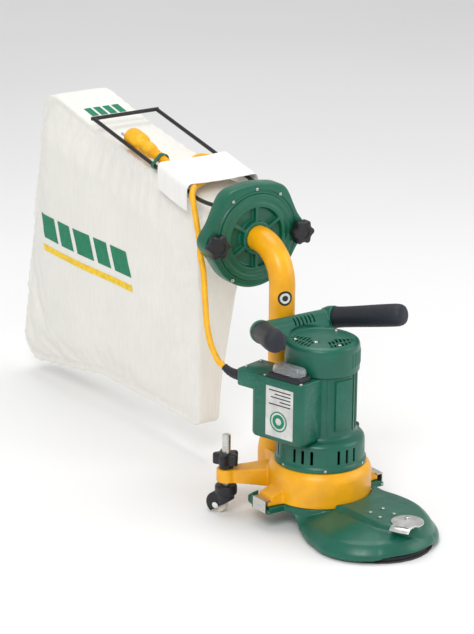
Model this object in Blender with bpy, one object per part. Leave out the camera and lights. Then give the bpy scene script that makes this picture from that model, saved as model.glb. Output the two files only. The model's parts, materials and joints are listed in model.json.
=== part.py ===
"""Floor edge sander: belt-driven disc head, motor, two casters, suction pipe and dust bag.

Metres, +Z up. The sanding head points to -Y and the dust bag to +Y. The machine is drawn with
the motor and the pipe in the plane X = 0, and is then moved so that the origin is the centre
of the abrasive disc's face on the floor.
"""
import math

import bmesh
import bpy
from mathutils import Matrix, Vector

# ---------------------------------------------------------------- driving dimensions
GAP = 0.0003  # between pieces that touch
RUNNING = 0.0003  # around shafts and pins
HEAD_X, HEAD_Y = 0.008, 0.017  # disc axis, a little to the right of the motor's plane
MOTOR_Y = 0.162  # motor axis
PIPE_Y = 0.275  # axis of the upright part of the suction pipe
DISC_R = 0.089  # 178 mm abrasive disc
ARM_TOP = 0.0407  # top of the arm under the base
BASE_BOTTOM = ARM_TOP + GAP
BASE_TOP = 0.0985
BASE_R = 0.084
MOTOR_BOTTOM = BASE_TOP + 0.0005
MOTOR_R = 0.056
CAP_R = 0.0606
CAP_BOTTOM = 0.2553
CAP_TOP = 0.3038
SHAFT_R = 0.006
PULLEY_R = 0.024
PULLEY_Z = (0.025, 0.0365)
SPINDLE_R = 0.0074
PIPE_R = 0.0215
PIPE_BORE = 0.019
FLANGE_Z = 0.426  # height of the pipe flange's centre
BEND_R = 0.065
FLANGE_Y = 0.3475  # front face of the pipe flange
CLAMP_BACK = 0.378
CASTER_X = 0.124
CASTER_Y = 0.251
WHEEL_R = 0.015
ROD_R = 0.0035
ROD_X = 0.065
CORD_R = 0.005
BOX_TURN = math.radians(105)  # the switch box's long side, from +X
CLOTH = 0.003  # thickness of the bag's wall

HEAD = Vector((HEAD_X, HEAD_Y, 0))
MOTOR = Vector((0, MOTOR_Y, 0))
ROUND = 28  # sides of the large round pieces
MEDIUM = 18
SMALL = 12


# ---------------------------------------------------------------- materials
def paint(name, colour, roughness, metallic=0.0):
    made = bpy.data.materials.new(name)
    made.use_nodes = True
    made.diffuse_color = (*colour, 1)
    shader = made.node_tree.nodes["Principled BSDF"]
    shader.inputs["Base Color"].default_value = (*colour, 1)
    shader.inputs["Roughness"].default_value = roughness
    shader.inputs["Metallic"].default_value = metallic
    return made


# ---------------------------------------------------------------- making solids
def put(name, bm, look, origin=(0, 0, 0)):
    """Make an object from world-space geometry, with its origin at a given point."""
    bmesh.ops.recalc_face_normals(bm, faces=bm.faces)
    mesh = bpy.data.meshes.new(name)
    bm.to_mesh(mesh)
    bm.free()
    mesh.transform(Matrix.Translation(-Vector(origin)))
    made = bpy.data.objects.new(name, mesh)
    made.location = origin
    bpy.context.scene.collection.objects.link(made)
    if look:
        mesh.materials.append(look)
    return made


def loops_solid(name, loops, look=None, origin=(0, 0, 0), ring=False):
    """Skin a row of equal loops of points. The ends are capped, or joined when it is a ring."""
    bm = bmesh.new()
    rows = [[bm.verts.new(p) for p in loop] for loop in loops]
    pairs = list(zip(rows, rows[1:] + rows[:1])) if ring else list(zip(rows, rows[1:]))
    count = len(loops[0])
    for low, high in pairs:
        for i in range(count):
            j = (i + 1) % count
            bm.faces.new((low[i], low[j], high[j], high[i]))
    if not ring:
        bm.faces.new(reversed(rows[0]))
        bm.faces.new(rows[-1])
    return put(name, bm, look, origin)


def lathe(name, profile, look=None, at=(0, 0, 0), along=(0, 0, 1), sides=ROUND):
    """Turn a closed profile of (radius, distance along the axis) points."""
    place = Matrix.Translation(at) @ Vector((0, 0,
                                             1)).rotation_difference(Vector(along)).to_matrix().to_4x4()
    bm = bmesh.new()
    rows = []
    for radius, height in profile:
        turns = range(sides) if radius > 1e-6 else range(1)
        angles = [2 * math.pi * k / sides for k in turns]
        points = [(radius * math.cos(a), radius * math.sin(a), height) for a in angles]
        rows.append([bm.verts.new(place @ Vector(p)) for p in points])
    for low, high in zip(rows, rows[1:] + rows[:1]):
        for i in range(sides if len(low) + len(high) > 2 else 0):
            j = (i + 1) % sides
            corners = [low[i % len(low)], low[j % len(low)], high[j % len(high)], high[i % len(high)]]
            bm.faces.new(list(dict.fromkeys(corners)))
    return put(name, bm, look, at)


def rod(name, start, end, radius, look=None, sides=MEDIUM):
    """A plain round bar between two points."""
    span = Vector(end) - Vector(start)
    profile = [(0, 0), (radius, 0), (radius, span.length), (0, span.length)]
    return lathe(name, profile, look, start, span, sides)


def block(name, low, high, look=None, place=Matrix()):
    bm = bmesh.new()
    middle = (Vector(low) + Vector(high)) / 2
    size = Vector(high) - Vector(low)
    fit = place @ Matrix.Translation(middle) @ Matrix.Diagonal((*size, 1))
    bmesh.ops.create_cube(bm, size=1, matrix=fit)
    return put(name, bm, look)


def flat_loop(points, height):
    return [(x, y, height) for x, y in points]


def circle(radius, count, centre=(0, 0), start=0.0):
    turns = [start + 2 * math.pi * k / count for k in range(count)]
    return [(centre[0] + radius * math.cos(a), centre[1] + radius * math.sin(a)) for a in turns]


def inset(points, distance):
    """Move an anticlockwise outline inwards by a distance, with mitred corners."""
    moved = []
    for before, here, after in zip(points[-1:] + points[:-1], points, points[1:] + points[:1]):
        first = (Vector(here) - Vector(before)).normalized()
        second = (Vector(after) - Vector(here)).normalized()
        one = Vector((-first.y, first.x))
        two = Vector((-second.y, second.x))
        shift = (one + two) * (distance / (1 + one.dot(two)))
        moved.append((here[0] + shift.x, here[1] + shift.y))
    return moved


def rounded(corners, steps=3):
    """An outline from (x, y, fillet radius) corners."""
    points = []
    for before, here, after in zip(corners[-1:] + corners[:-1], corners, corners[1:] + corners[:1]):
        tip = Vector(here[:2])
        back = (Vector(before[:2]) - tip).normalized()
        on = (Vector(after[:2]) - tip).normalized()
        if here[2] == 0:
            points.append(tuple(tip))
            continue
        half = back.angle(on) / 2
        reach = here[2] / math.tan(half)
        centre = tip + (back + on).normalized() * (here[2] / math.sin(half))
        first = tip + back * reach - centre
        turn = first.angle_signed(tip + on * reach - centre)
        for k in range(steps + 1):
            arm = first.copy()
            arm.rotate(Matrix.Rotation(-turn * k / steps, 2))
            points.append(tuple(centre + arm))
    return points


def smooth_path(points, per_span, closed=False):
    """Read points from a Catmull-Rom curve through the given ones."""
    knots = [Vector(p) for p in points]
    count = len(knots) if closed else len(knots) - 1
    path = []
    for i in range(count):
        if closed:
            a, b, c, d = (knots[(i + k) % len(knots)] for k in (-1, 0, 1, 2))
        else:
            b, c = knots[i], knots[i + 1]
            a = knots[i - 1] if i else b * 2 - c
            d = knots[i + 2] if i + 2 < len(knots) else c * 2 - b
        for k in range(per_span):
            t = k / per_span
            bend = (2 * a - 5 * b + 4 * c - d) * t**2 + (3 * b - a - 3 * c + d) * t**3
            path.append((2 * b + (c - a) * t + bend) / 2)
    return path if closed else path + [knots[-1]]


def swept_rings(path, radii, sides):
    """Round sections along a path, turned as little as possible from one to the next."""
    path = [Vector(p) for p in path]
    rings = []
    side = None
    for i, here in enumerate(path):
        ahead = path[min(i + 1, len(path) - 1)] - here
        behind = here - path[max(i - 1, 0)]
        along = (ahead.normalized() + behind.normalized()).normalized()
        side = (side or along.orthogonal()) - along * (side or along.orthogonal()).dot(along)
        side.normalize()
        up = along.cross(side)
        stretch = 1 / max(0.5, along.dot((ahead if ahead.length else behind).normalized()))
        turns = [2 * math.pi * k / sides for k in range(sides)]
        rings.append([here + (side * math.cos(a) + up * math.sin(a)) * radii[i] * stretch for a in turns])
    return rings


def bake(target, operation, tools):
    """Run Booleans now, and drop the tools. EXACT fails where the arm's thin shells meet."""
    for tool in tools:
        step = target.modifiers.new(operation, "BOOLEAN")
        step.operation = operation
        step.solver = "MANIFOLD"
        step.object = tool
    bpy.context.view_layer.update()
    shape = target.evaluated_get(bpy.context.evaluated_depsgraph_get())
    result = bpy.data.meshes.new_from_object(shape)
    target.modifiers.clear()
    look = target.data.materials[0] if target.data.materials else None
    target.data = result
    result.materials.clear()
    result.polygons.foreach_set("material_index", [0] * len(result.polygons))
    if look:
        result.materials.append(look)
    for tool in tools:
        bpy.data.objects.remove(tool)
    return target


def cut(target, *tools):
    return bake(target, "DIFFERENCE", tools)


def fuse(target, *tools):
    return bake(target, "UNION", tools)


def many(name, pieces):
    """Several plain solids as one cutter."""
    bm = bmesh.new()
    for piece in pieces:
        piece.data.transform(piece.matrix_basis)
        bm.from_mesh(piece.data)
        bpy.data.objects.remove(piece)
    return put(name, bm, None)


def wedge(name, start, end, look=None):
    """A block with six flat sides between two four-cornered faces."""
    return loops_solid(name, [start, end], look)


def racetrack(radius, count=12):
    """A belt line round the disc axis and the motor axis."""
    lean = math.atan2(HEAD.x - MOTOR.x, MOTOR.y - HEAD.y)
    points = []
    for centre, start in ((HEAD, math.pi), (MOTOR, 0.0)):
        for k in range(count + 1):
            angle = lean + start + math.pi * k / count
            points.append((centre.x + radius * math.cos(angle), centre.y + radius * math.sin(angle)))
    return points


def lobed(radius, depth, lobes, per_lobe):
    count = lobes * per_lobe
    turns = [2 * math.pi * k / count for k in range(count)]
    return [((radius + depth * math.cos(lobes * a)) * math.cos(a),
             (radius + depth * math.cos(lobes * a)) * math.sin(a)) for a in turns]


def smoothstep(low, high, value):
    t = min(1, max(0, (value - low) / (high - low)))
    return t * t * (3 - 2 * t)


def ring_profile(inner, outer, low, high):
    return [(inner, low), (outer, low), (outer, high), (inner, high)]


# ---------------------------------------------------------------- base
def make_base(yellow):
    profile = [(0.028, BASE_BOTTOM), (0.0832, BASE_BOTTOM), (BASE_R, 0.0422), (BASE_R, 0.0860),
               (0.0825, 0.0920), (0.0795, 0.0962), (0.0765, BASE_TOP), (0.0660, BASE_TOP),
               (0.0660, 0.0935), (0.0770, 0.0905), (0.0770, 0.0465), (0.0280, 0.0465)]
    base = lathe("base_frame", profile, yellow, MOTOR)
    neck = wedge("neck", [(-0.040, 0.236, 0.045), (0.040, 0.236, 0.045), (0.040, 0.236, 0.092),
                          (-0.040, 0.236, 0.092)], [(-0.034, PIPE_Y, 0.047), (0.034, PIPE_Y, 0.047),
                                                    (0.034, PIPE_Y, 0.090), (-0.034, PIPE_Y, 0.090)])
    socket = lathe("socket", [(0, 0.047), (0.034, 0.047), (0.036, 0.051), (0.036, 0.080), (0.034, 0.094),
                              (0.0285, 0.125), (0.0262, 0.146), (0, 0.146)], None, (0, PIPE_Y, 0),
                   sides=MEDIUM)
    parts = [neck, socket]
    for s in (-1, 1):
        parts += base_side(s)
    fuse(base, *parts)
    bore = rod("bore", (0, PIPE_Y, 0.070), (0, PIPE_Y, 0.150), PIPE_R + GAP + 0.0004)
    step = rod("step", (0, PIPE_Y, 0.054), (0, PIPE_Y, 0.072), PIPE_BORE)
    duct = rod("duct", (0, 0.225, 0.0685), (0, PIPE_Y, 0.0685), 0.0145, sides=SMALL)
    holes = [rod("hole", (s * CASTER_X, CASTER_Y, 0.05), (s * CASTER_X, CASTER_Y, 0.09), 0.007 + RUNNING,
                 sides=SMALL) for s in (-1, 1)]
    return cut(base, bore, step, duct, *holes, *intake_windows(0.038, 0.050))


def intake_windows(low, high):
    """Two windows, beside the belt tunnel, that let dust rise from the disc to the suction fan."""
    return [block("window", (min(s * 0.043, s * 0.067), 0.106, low),
                  (max(s * 0.043, s * 0.067), 0.128, high)) for s in (-1, 1)]


def base_side(s):
    """A caster arm with its boss, and the lug that a latch hooks over."""
    along = Vector((0.911 * s, 0.413, 0))
    across = Vector((-0.413 * s, 0.911, 0))
    root = Vector((0.056 * s, 0.2202, 0))
    tip = Vector((CASTER_X * s, CASTER_Y, 0)) - along * 0.002
    ends = []
    for centre, half, low, high in ((root, 0.022, 0.049, 0.082), (tip, 0.0125, 0.0565, 0.0785)):
        corners = [(-half, low), (half, low), (half, high), (-half, high)]
        ends.append([centre + across * a + Vector((0, 0, z)) for a, z in corners])
    arm = wedge("arm", *ends)
    boss = rod("boss", (CASTER_X * s, CASTER_Y, 0.056), (CASTER_X * s, CASTER_Y, 0.079), 0.016)
    low, high = 0.150, 0.184
    lug = wedge("lug", [(s * 0.074, low - 0.004, BASE_BOTTOM), (s * 0.074, high + 0.004, BASE_BOTTOM),
                        (s * 0.074, high, 0.068), (s * 0.074, low, 0.068)],
                [(s * 0.1045, low, BASE_BOTTOM), (s * 0.1045, high, BASE_BOTTOM),
                 (s * 0.1045, high, 0.056), (s * 0.1045, low, 0.056)])
    step = block("step", (min(s * 0.100, s * 0.1115), low, BASE_BOTTOM),
                 (max(s * 0.100, s * 0.1115), high, 0.0500))
    return [arm, boss, lug, step]


# ---------------------------------------------------------------- sanding arm
def skirt_radius(turn):
    """The head's outline from its axis; turn is the angle away from the front, in degrees."""
    return 0.0905 + 0.0175 * smoothstep(15, 100, abs(turn))


def arm_outline(rear=0.132):
    """Front of the head, then the right side of the neck, then the left side."""
    front = []
    for k in range(-10, 11):
        turn = k * 10.2
        reach = skirt_radius(turn)
        angle = math.radians(turn)
        front.append((HEAD_X + reach * math.sin(angle), HEAD_Y - reach * math.cos(angle)))
    right = [(0.1065, 0.064), (0.0955, 0.087), (0.0840, 0.109), (0.0790, rear)]
    left = [(-0.0790, rear), (-0.0800, 0.109), (-0.0865, 0.087), (-0.0935, 0.064)]
    return front + right + left


def skirt_bottom(point):
    """The skirt hangs low, except over the front of the disc and under the base."""
    turn = math.degrees(math.atan2(point[0] - HEAD_X, HEAD_Y - point[1]))
    front = smoothstep(-40, -31, turn) * (1 - smoothstep(38, 47, turn))
    rear = smoothstep(0.100, 0.130, point[1])
    return 0.004 + 0.0075 * front + 0.0255 * rear


DOME_TOP = 0.0435
DOME = ((0.000, 0.00), (0.004, 0.24), (0.012, 0.52), (0.030, 0.72), (0.050, 0.90), (0.066, 1.00))


def arm_shell(thinner):
    """Loops up the low dome of the arm, whose rear edge stays under the base."""
    loops = []
    for depth, rise in (DOME if thinner == 0 else DOME[1::2]):
        points = inset(arm_outline(0.132 + depth), depth + thinner)
        bottoms = [max(0.0100, skirt_bottom(p) + 0.001) for p in arm_outline()]
        loops.append([(x, y, b + (DOME_TOP - b) * rise - thinner) for (x, y), b in zip(points, bottoms)])
    return loops


DECK_TOP = 0.0500
# the raised deck's edge, from the disc's axis: top x, y, then foot x, y
DECK = [(-0.028, 0.080, -0.033, 0.080), (-0.028, 0.040, -0.034, 0.040), (-0.028, 0.005, -0.035, 0.004),
        (-0.026, -0.022, -0.033, -0.024), (-0.015, -0.042, -0.022, -0.046), (0.004, -0.060, -0.002, -0.066),
        (0.024, -0.066, 0.026, -0.080), (0.046, -0.055, 0.060, -0.067), (0.064, -0.032, 0.085, -0.044),
        (0.075, 0.000, 0.099, -0.004), (0.075, 0.036, 0.097, 0.034), (0.067, 0.072, 0.084, 0.072),
        (0.058, 0.100, 0.074, 0.100)]


def deck_shell(thinner):
    top_knots = [HEAD + Vector((x, y, 0)) for x, y, _, _ in DECK]
    foot_knots = [HEAD + Vector((x, y, 0)) for _, _, x, y in DECK]
    tops = inset([p.to_2d() for p in smooth_path(top_knots, 2, closed=True)], thinner)
    feet = inset([p.to_2d() for p in smooth_path(foot_knots, 2, closed=True)], thinner)
    low = 0.012 if thinner == 0 else -0.001
    rise = ((0, low), (0.05, 0.018), (0.3, 0.032), (0.6, 0.0425), (0.85, 0.0480), (1, DECK_TOP))
    rise = rise if thinner == 0 else rise[::2] + rise[-1:]
    return [[(f[0] + (t[0] - f[0]) * u, f[1] + (t[1] - f[1]) * u, z - thinner) for f, t in zip(feet, tops)]
            for u, z in rise]


def make_arm(green):
    arm = loops_solid("arm_housing", [[(x, y, skirt_bottom((x, y))) for x, y in arm_outline()]]
                      + arm_shell(0), green)
    fuse(arm, loops_solid("deck", deck_shell(0)))
    under = [flat_loop(inset(arm_outline(), 0.003), z) for z in (-0.001, 0.0065)]
    cut(arm, loops_solid("room", under + arm_shell(0.003)))
    cut(arm, loops_solid("deck_room", deck_shell(0.0032)))
    seat = lathe("seat", [(0, 0.0365), (0.0818, 0.0365), (0.0818, 0.0295), (0.0848, 0.0295),
                          (0.0848, 0.0450), (0, 0.0450)], None, MOTOR)
    fuse(arm, seat)
    fuse(arm, loops_solid("tunnel", [flat_loop(racetrack(0.036), z) for z in (0.0158, 0.0415)]))
    fuse(arm, rod("boss", (HEAD_X, HEAD_Y, 0.0370), (HEAD_X, HEAD_Y, 0.0485), 0.0185))
    for s in (-1, 1):
        for piece in arm_ear(s):
            fuse(arm, piece)

    cut(arm, rod("above", (0, MOTOR_Y, ARM_TOP), (0, MOTOR_Y, 0.070), BASE_R + 0.0010, sides=ROUND))
    cut(arm, loops_solid("belt_room", [flat_loop(racetrack(0.0325), z) for z in (0.0100, 0.0380)]))
    cut(arm, rod("pocket", (HEAD_X, HEAD_Y, 0.036), (HEAD_X, HEAD_Y, 0.0462), 0.0143))
    cut(arm, rod("shaft_hole", (0, MOTOR_Y, 0.036), (0, MOTOR_Y, 0.050), 0.0280))
    return cut(arm, *intake_windows(0.030, 0.050))


def arm_ear(s):
    """An ear beside the base's lug, its fin, and two knuckles that hold the latch pin."""
    def span(a, b):
        return min(s * a, s * b), max(s * a, s * b)

    left, right = span(0.078, 0.1118)
    ear = block("ear", (left, 0.1435, 0.0302), (right, 0.2040, ARM_TOP - 0.0001))
    fin = wedge("fin", [(s * 0.104, 0.1862, 0.034), (s * 0.117, 0.1862, 0.034), (s * 0.117, 0.1862, 0.056),
                        (s * 0.104, 0.1862, 0.058)],
                [(s * 0.104, 0.2034, 0.034), (s * 0.114, 0.2034, 0.034), (s * 0.114, 0.2034, 0.045),
                 (s * 0.104, 0.2034, 0.047)])
    pieces = [ear, fin]
    left, right = span(0.110, 0.118)
    for low, high in ((0.1425, 0.1467), (0.1823, 0.1864)):
        knuckle = block("knuckle", (left, low, 0.0308), (right, high, 0.0382))
        hole = rod("hole", (s * 0.115, low - 0.01, 0.0345), (s * 0.115, high + 0.01, 0.0345), 0.0019,
                   sides=12)
        pieces.append(cut(knuckle, hole))
    return pieces


def make_arm_cover(green):
    cover = loops_solid("arm_lower_cover", [flat_loop(racetrack(0.0355), z) for z in (0.0122, 0.0155)],
                        green)
    fuse(cover, rod("boss", (HEAD_X, HEAD_Y, 0.0140), (HEAD_X, HEAD_Y, 0.0240), 0.021))
    seat = rod("seat", (HEAD_X, HEAD_Y, 0.0157), (HEAD_X, HEAD_Y, 0.0300), 0.0163)
    hole = rod("hole", (HEAD_X, HEAD_Y, 0.01), (HEAD_X, HEAD_Y, 0.02), 0.0095)
    return cut(cover, seat, hole)


def make_turn_plate(steel):
    """A round cover plate that turns on its screw, with a notch and a folded slotted tab."""
    radius = 0.0260
    centre = (HEAD_X + 0.0150, HEAD_Y - 0.0575)
    pivot = (HEAD_X + 0.0235, HEAD_Y - 0.0470)
    low, high = DECK_TOP + GAP, DECK_TOP + GAP + 0.0016
    plate = rod("turn_plate", (*centre, low), (*centre, high), radius, steel)
    outward = Vector((-0.873, -0.487, 0))
    across = Vector((-outward.y, outward.x, 0))
    start = Vector((*centre, 0)) + outward * 0.0170
    folds = []
    for reach, drop in ((0, 0), (0.0115, 0.0006), (0.0180, 0.0052)):
        spot = start + outward * reach
        corners = [(-0.0165, low), (0.0165, low), (0.0165, high), (-0.0165, high)]
        folds.append([spot + across * a + Vector((0, 0, z - drop)) for a, z in corners])
    tab = loops_solid("tab", folds)
    fuse(plate, tab)
    slot_at = start + outward * 0.0095
    turn = Matrix.Translation(slot_at) @ Matrix.Rotation(math.atan2(across.y, across.x), 4, "Z")
    slot = block("slot", (-0.0110, -0.0014, 0.043), (0.0110, 0.0014, 0.060), None, turn)
    notch_angle = math.radians(-98)
    notch_at = (centre[0] + radius * math.cos(notch_angle), centre[1] + radius * math.sin(notch_angle))
    notch = rod("notch", (*notch_at, 0.045), (*notch_at, 0.060), 0.0032, sides=12)
    hole = rod("hole", (*pivot, 0.045), (*pivot, 0.060), 0.0022, sides=12)
    cut(plate, slot, notch, hole)
    move_origin(plate, (*pivot, high))
    return plate


def move_origin(target, point):
    shift = Vector(point) - target.location
    target.data.transform(Matrix.Translation(-shift))
    target.location = point


def make_latch(name, s, steel):
    """A steel plate that hooks over the lug and swings on a pin in the ear."""
    axis = (s * 0.115, 0.1645, 0.0345)
    plate = block(name, (min(s * 0.1173, s * 0.1190), 0.1472, 0.0325),
                  (max(s * 0.1173, s * 0.1190), 0.1818, 0.0525), steel)
    hook = block("hook", (min(s * 0.1075, s * 0.1185), 0.1472, 0.0508),
                 (max(s * 0.1075, s * 0.1185), 0.1818, 0.0525))
    barrel = rod("barrel", (axis[0], 0.1472, axis[2]), (axis[0], 0.1818, axis[2]), 0.0028, sides=16)
    fuse(plate, hook, barrel)
    cut(plate, rod("bore", (axis[0], 0.14, axis[2]), (axis[0], 0.19, axis[2]), 0.0019, sides=12))
    move_origin(plate, axis)
    return plate


# ---------------------------------------------------------------- drive
def make_drive(steel, black, grit, cast):
    low, high = PULLEY_Z
    flange = PULLEY_R + 0.0015
    bore = SHAFT_R + GAP
    groove = [(flange, low), (flange, low + 0.0012), (PULLEY_R, low + 0.0012), (PULLEY_R, high - 0.0012),
              (flange, high - 0.0012), (flange, high)]
    spindle_bore = SPINDLE_R + GAP
    plate = [(0, 0.0015), (0.0840, 0.0015), (0.0850, 0.0030), (0.0850, 0.0075), (0.0835, 0.0090),
             (0, 0.0090)]
    spindle = [(0, 0.0093), (0.0088, 0.0093), (0.0088, 0.0148), (SPINDLE_R, 0.0148), (SPINDLE_R, 0.0458),
               (0, 0.0458)]
    lathe("abrasive_disc", [(0, 0), (DISC_R, 0), (DISC_R, 0.0012), (0, 0.0012)], grit, HEAD, sides=ROUND)
    lathe("backing_plate", plate, black, HEAD, sides=ROUND)
    lathe("spindle", spindle, steel, HEAD, sides=SMALL)
    lathe("spindle_bearing_lower", ring_profile(spindle_bore, 0.0160, 0.0160, 0.0238), steel, HEAD,
          sides=MEDIUM)
    lathe("spindle_bearing_upper", ring_profile(spindle_bore, 0.0140, 0.0384, 0.0456), steel, HEAD,
          sides=MEDIUM)
    lathe("driven_pulley", [(spindle_bore, low)] + groove + [(spindle_bore, high)], cast, HEAD,
          sides=MEDIUM)
    lathe("drive_pulley", [(bore, low)] + groove + [(bore, high)], cast, MOTOR, sides=MEDIUM)
    inner, outer = PULLEY_R + 0.0003, PULLEY_R + 0.0028
    belt = [(inner, 0.0266), (outer, 0.0266), (outer, 0.0349), (inner, 0.0349)]
    loops_solid("drive_belt", [flat_loop(racetrack(r), z) for r, z in belt], black, ring=True)


# ---------------------------------------------------------------- motor
def make_motor_inside(steel, copper, black, carbon):
    bore = SHAFT_R + GAP
    lathe("motor_shaft", [(0, 0.0225), (SHAFT_R, 0.0225), (SHAFT_R, 0.2785), (0, 0.2785)], steel, MOTOR,
          sides=SMALL)
    lathe("motor_bearing_lower", ring_profile(bore, 0.0130, 0.0993, 0.1065), steel, MOTOR, sides=MEDIUM)
    lathe("motor_bearing_upper", ring_profile(bore, 0.0110, 0.2700, 0.2770), steel, MOTOR, sides=MEDIUM)
    lathe("armature_core", [(bore, 0.138), (0.022, 0.140), (0.025, 0.149), (0.030, 0.150), (0.030, 0.215),
                            (0.025, 0.216), (0.022, 0.224), (bore, 0.226)], copper, MOTOR, sides=MEDIUM)
    lathe("commutator", ring_profile(bore, 0.0180, 0.2280, 0.2500), copper, MOTOR, sides=MEDIUM)
    lathe("stator", ring_profile(0.0335, 0.0515, 0.1560, 0.2170), steel, MOTOR, sides=MEDIUM)
    for name, s in (("carbon_brush_left", -1), ("carbon_brush_right", 1)):
        block(name, (min(s * 0.0185, s * 0.0460), MOTOR_Y - 0.004, 0.233),
              (max(s * 0.0185, s * 0.0460), MOTOR_Y + 0.004, 0.245), carbon)
    make_fan("cooling_fan", 0.1120, 0.1290, 0.060, 9, black)
    make_fan("suction_fan", 0.0540, 0.0820, 0.062, 8, steel)


def make_fan(name, low, high, radius, blades, look):
    """A hub and a back plate with upright blades, on the motor shaft."""
    bore = SHAFT_R + GAP
    fan = lathe(name, [(bore, low), (radius, low), (radius, low + 0.0025), (0.013, low + 0.0025),
                       (0.013, high), (bore, high)], look, MOTOR, sides=MEDIUM)
    parts = []
    for k in range(blades):
        turn = Matrix.Translation(MOTOR) @ Matrix.Rotation(2 * math.pi * k / blades, 4, "Z")
        parts.append(block("blade", (0.011, -0.001, low + 0.001), (radius - 0.001, 0.001, high - 0.001),
                           None, turn))
    return fuse(fan, *parts)


def make_motor_housing(green):
    profile = [(0.0133, MOTOR_BOTTOM), (0.0745, MOTOR_BOTTOM), (0.0745, 0.1055), (0.0728, 0.1078),
               (0.0720, 0.1095), (0.0715, 0.1380), (0.0680, 0.1445), (0.0605, 0.1495), (0.0570, 0.1525),
               (MOTOR_R, 0.1560), (MOTOR_R, CAP_BOTTOM - GAP), (0.0530, CAP_BOTTOM - GAP),
               (0.0530, 0.1550), (0.0560, 0.1500), (0.0640, 0.1430), (0.0680, 0.1360), (0.0685, 0.1040),
               (0.0180, 0.1040), (0.0180, 0.1085), (0.0133, 0.1085)]
    housing = lathe("motor_housing", profile, green, MOTOR)
    slots = []
    for group in range(6):
        for step in (-1, 0, 1):
            angle = math.radians(30 + 60 * group + 12.2 * step)
            turn = Matrix.Translation(MOTOR) @ Matrix.Rotation(angle, 4, "Z")
            slots.append(block("slot", (0.064, -0.0024, 0.1120), (0.078, 0.0024, 0.1350), None, turn))
    return cut(housing, many("slots", slots))


GRIP_START = Vector((0.0680, 0.2365, 0.3065))
GRIP_END = Vector((0.1280, 0.1120, 0.3345))


def make_cap(green):
    """The top cover with its grille, its bearing seat and the bridge that carries the grips."""
    profile = [(CAP_R, CAP_BOTTOM), (CAP_R, 0.2965), (0.0592, 0.3008), (0.0560, 0.3032),
               (0.0540, CAP_TOP), (0, CAP_TOP), (0, 0.2795), (0.0113, 0.2795), (0.0113, 0.2685),
               (0.0155, 0.2685), (0.0155, 0.2990), (0.0540, 0.2990), (0.0573, 0.2960),
               (0.0573, CAP_BOTTOM)]
    cap = lathe("motor_cap", profile, green, MOTOR)
    bridge = wedge("bridge", [(-0.050, 0.2080, 0.2780), (0.050, 0.2080, 0.2780), (0.050, 0.2080, 0.3030),
                              (-0.050, 0.2080, 0.3030)],
                   [(-0.060, 0.2365, 0.2905), (0.060, 0.2365, 0.2905), (0.060, 0.2365, 0.3218),
                    (-0.060, 0.2365, 0.3218)])
    bar = rod("bar", (-0.0600, 0.2365, 0.3062), (0.0600, 0.2365, 0.3062), 0.0160, sides=18)
    cut(bridge, rod("inside", (0, MOTOR_Y, 0.25), (0, MOTOR_Y, 0.33), 0.0580, sides=ROUND))
    collars = []
    for s in (-1, 1):
        start = Vector((s * GRIP_START.x, GRIP_START.y, GRIP_START.z))
        along = (Vector((s * GRIP_END.x, GRIP_END.y, GRIP_END.z)) - start).normalized()
        collars.append(lathe("collar", [(0, -0.016), (0.011, -0.0155), (0.0165, -0.010), (0.0192, 0.000),
                                        (0.0192, 0.012), (0, 0.012)], None, start, along, 18))
    fuse(cap, bridge, bar, *collars)
    return cut(cap, many("grille", grille_slots()))


def grille_slots():
    """Fields of slanting slots in the round top, and one field in the bridge."""
    slots = []
    for heading, side in ((244, 1), (210, -1)):
        turn = Matrix.Translation(MOTOR) @ Matrix.Rotation(math.radians(heading), 4, "Z")
        for k in range(5):
            across = side * (0.009 + 0.0080 * k)
            end = math.sqrt(0.048**2 - across**2)
            start = max(0.004, math.sqrt(max(0, 0.0185**2 - across**2)))
            slots.append(block("slot", (start, across - 0.0016, 0.2900), (end, across + 0.0016, 0.3200),
                               None, turn))
    for k in range(6):
        x = -0.010 + 0.0075 * k
        slots.append(block("slot", (x - 0.0014, 0.2215, 0.3040), (x + 0.0014, 0.2300, 0.3300)))
    return slots


def make_grip(name, s, black):
    start = Vector((s * GRIP_START.x, GRIP_START.y, GRIP_START.z))
    end = Vector((s * GRIP_END.x, GRIP_END.y, GRIP_END.z))
    length = (end - start).length
    shape = [(0, 0.0123), (0.0166, 0.0123), (0.0176, 0.0140), (0.0172, 0.0300), (0.0178, 0.0650),
             (0.0186, 0.1050), (0.0187, length - 0.016), (0.0172, length - 0.007),
             (0.0130, length - 0.0018), (0.0070, length), (0, length)]
    return lathe(name, shape, black, start, end - start, 18)


# ---------------------------------------------------------------- switch box
def box_place():
    """Box coordinates are (towards the cord, away from the motor, up) from the motor axis."""
    return Matrix.Translation(MOTOR) @ Matrix.Rotation(BOX_TURN, 4, "Z")


def in_box(loops):
    place = box_place()
    return [[place @ Vector(p) for p in loop] for loop in loops]


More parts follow.
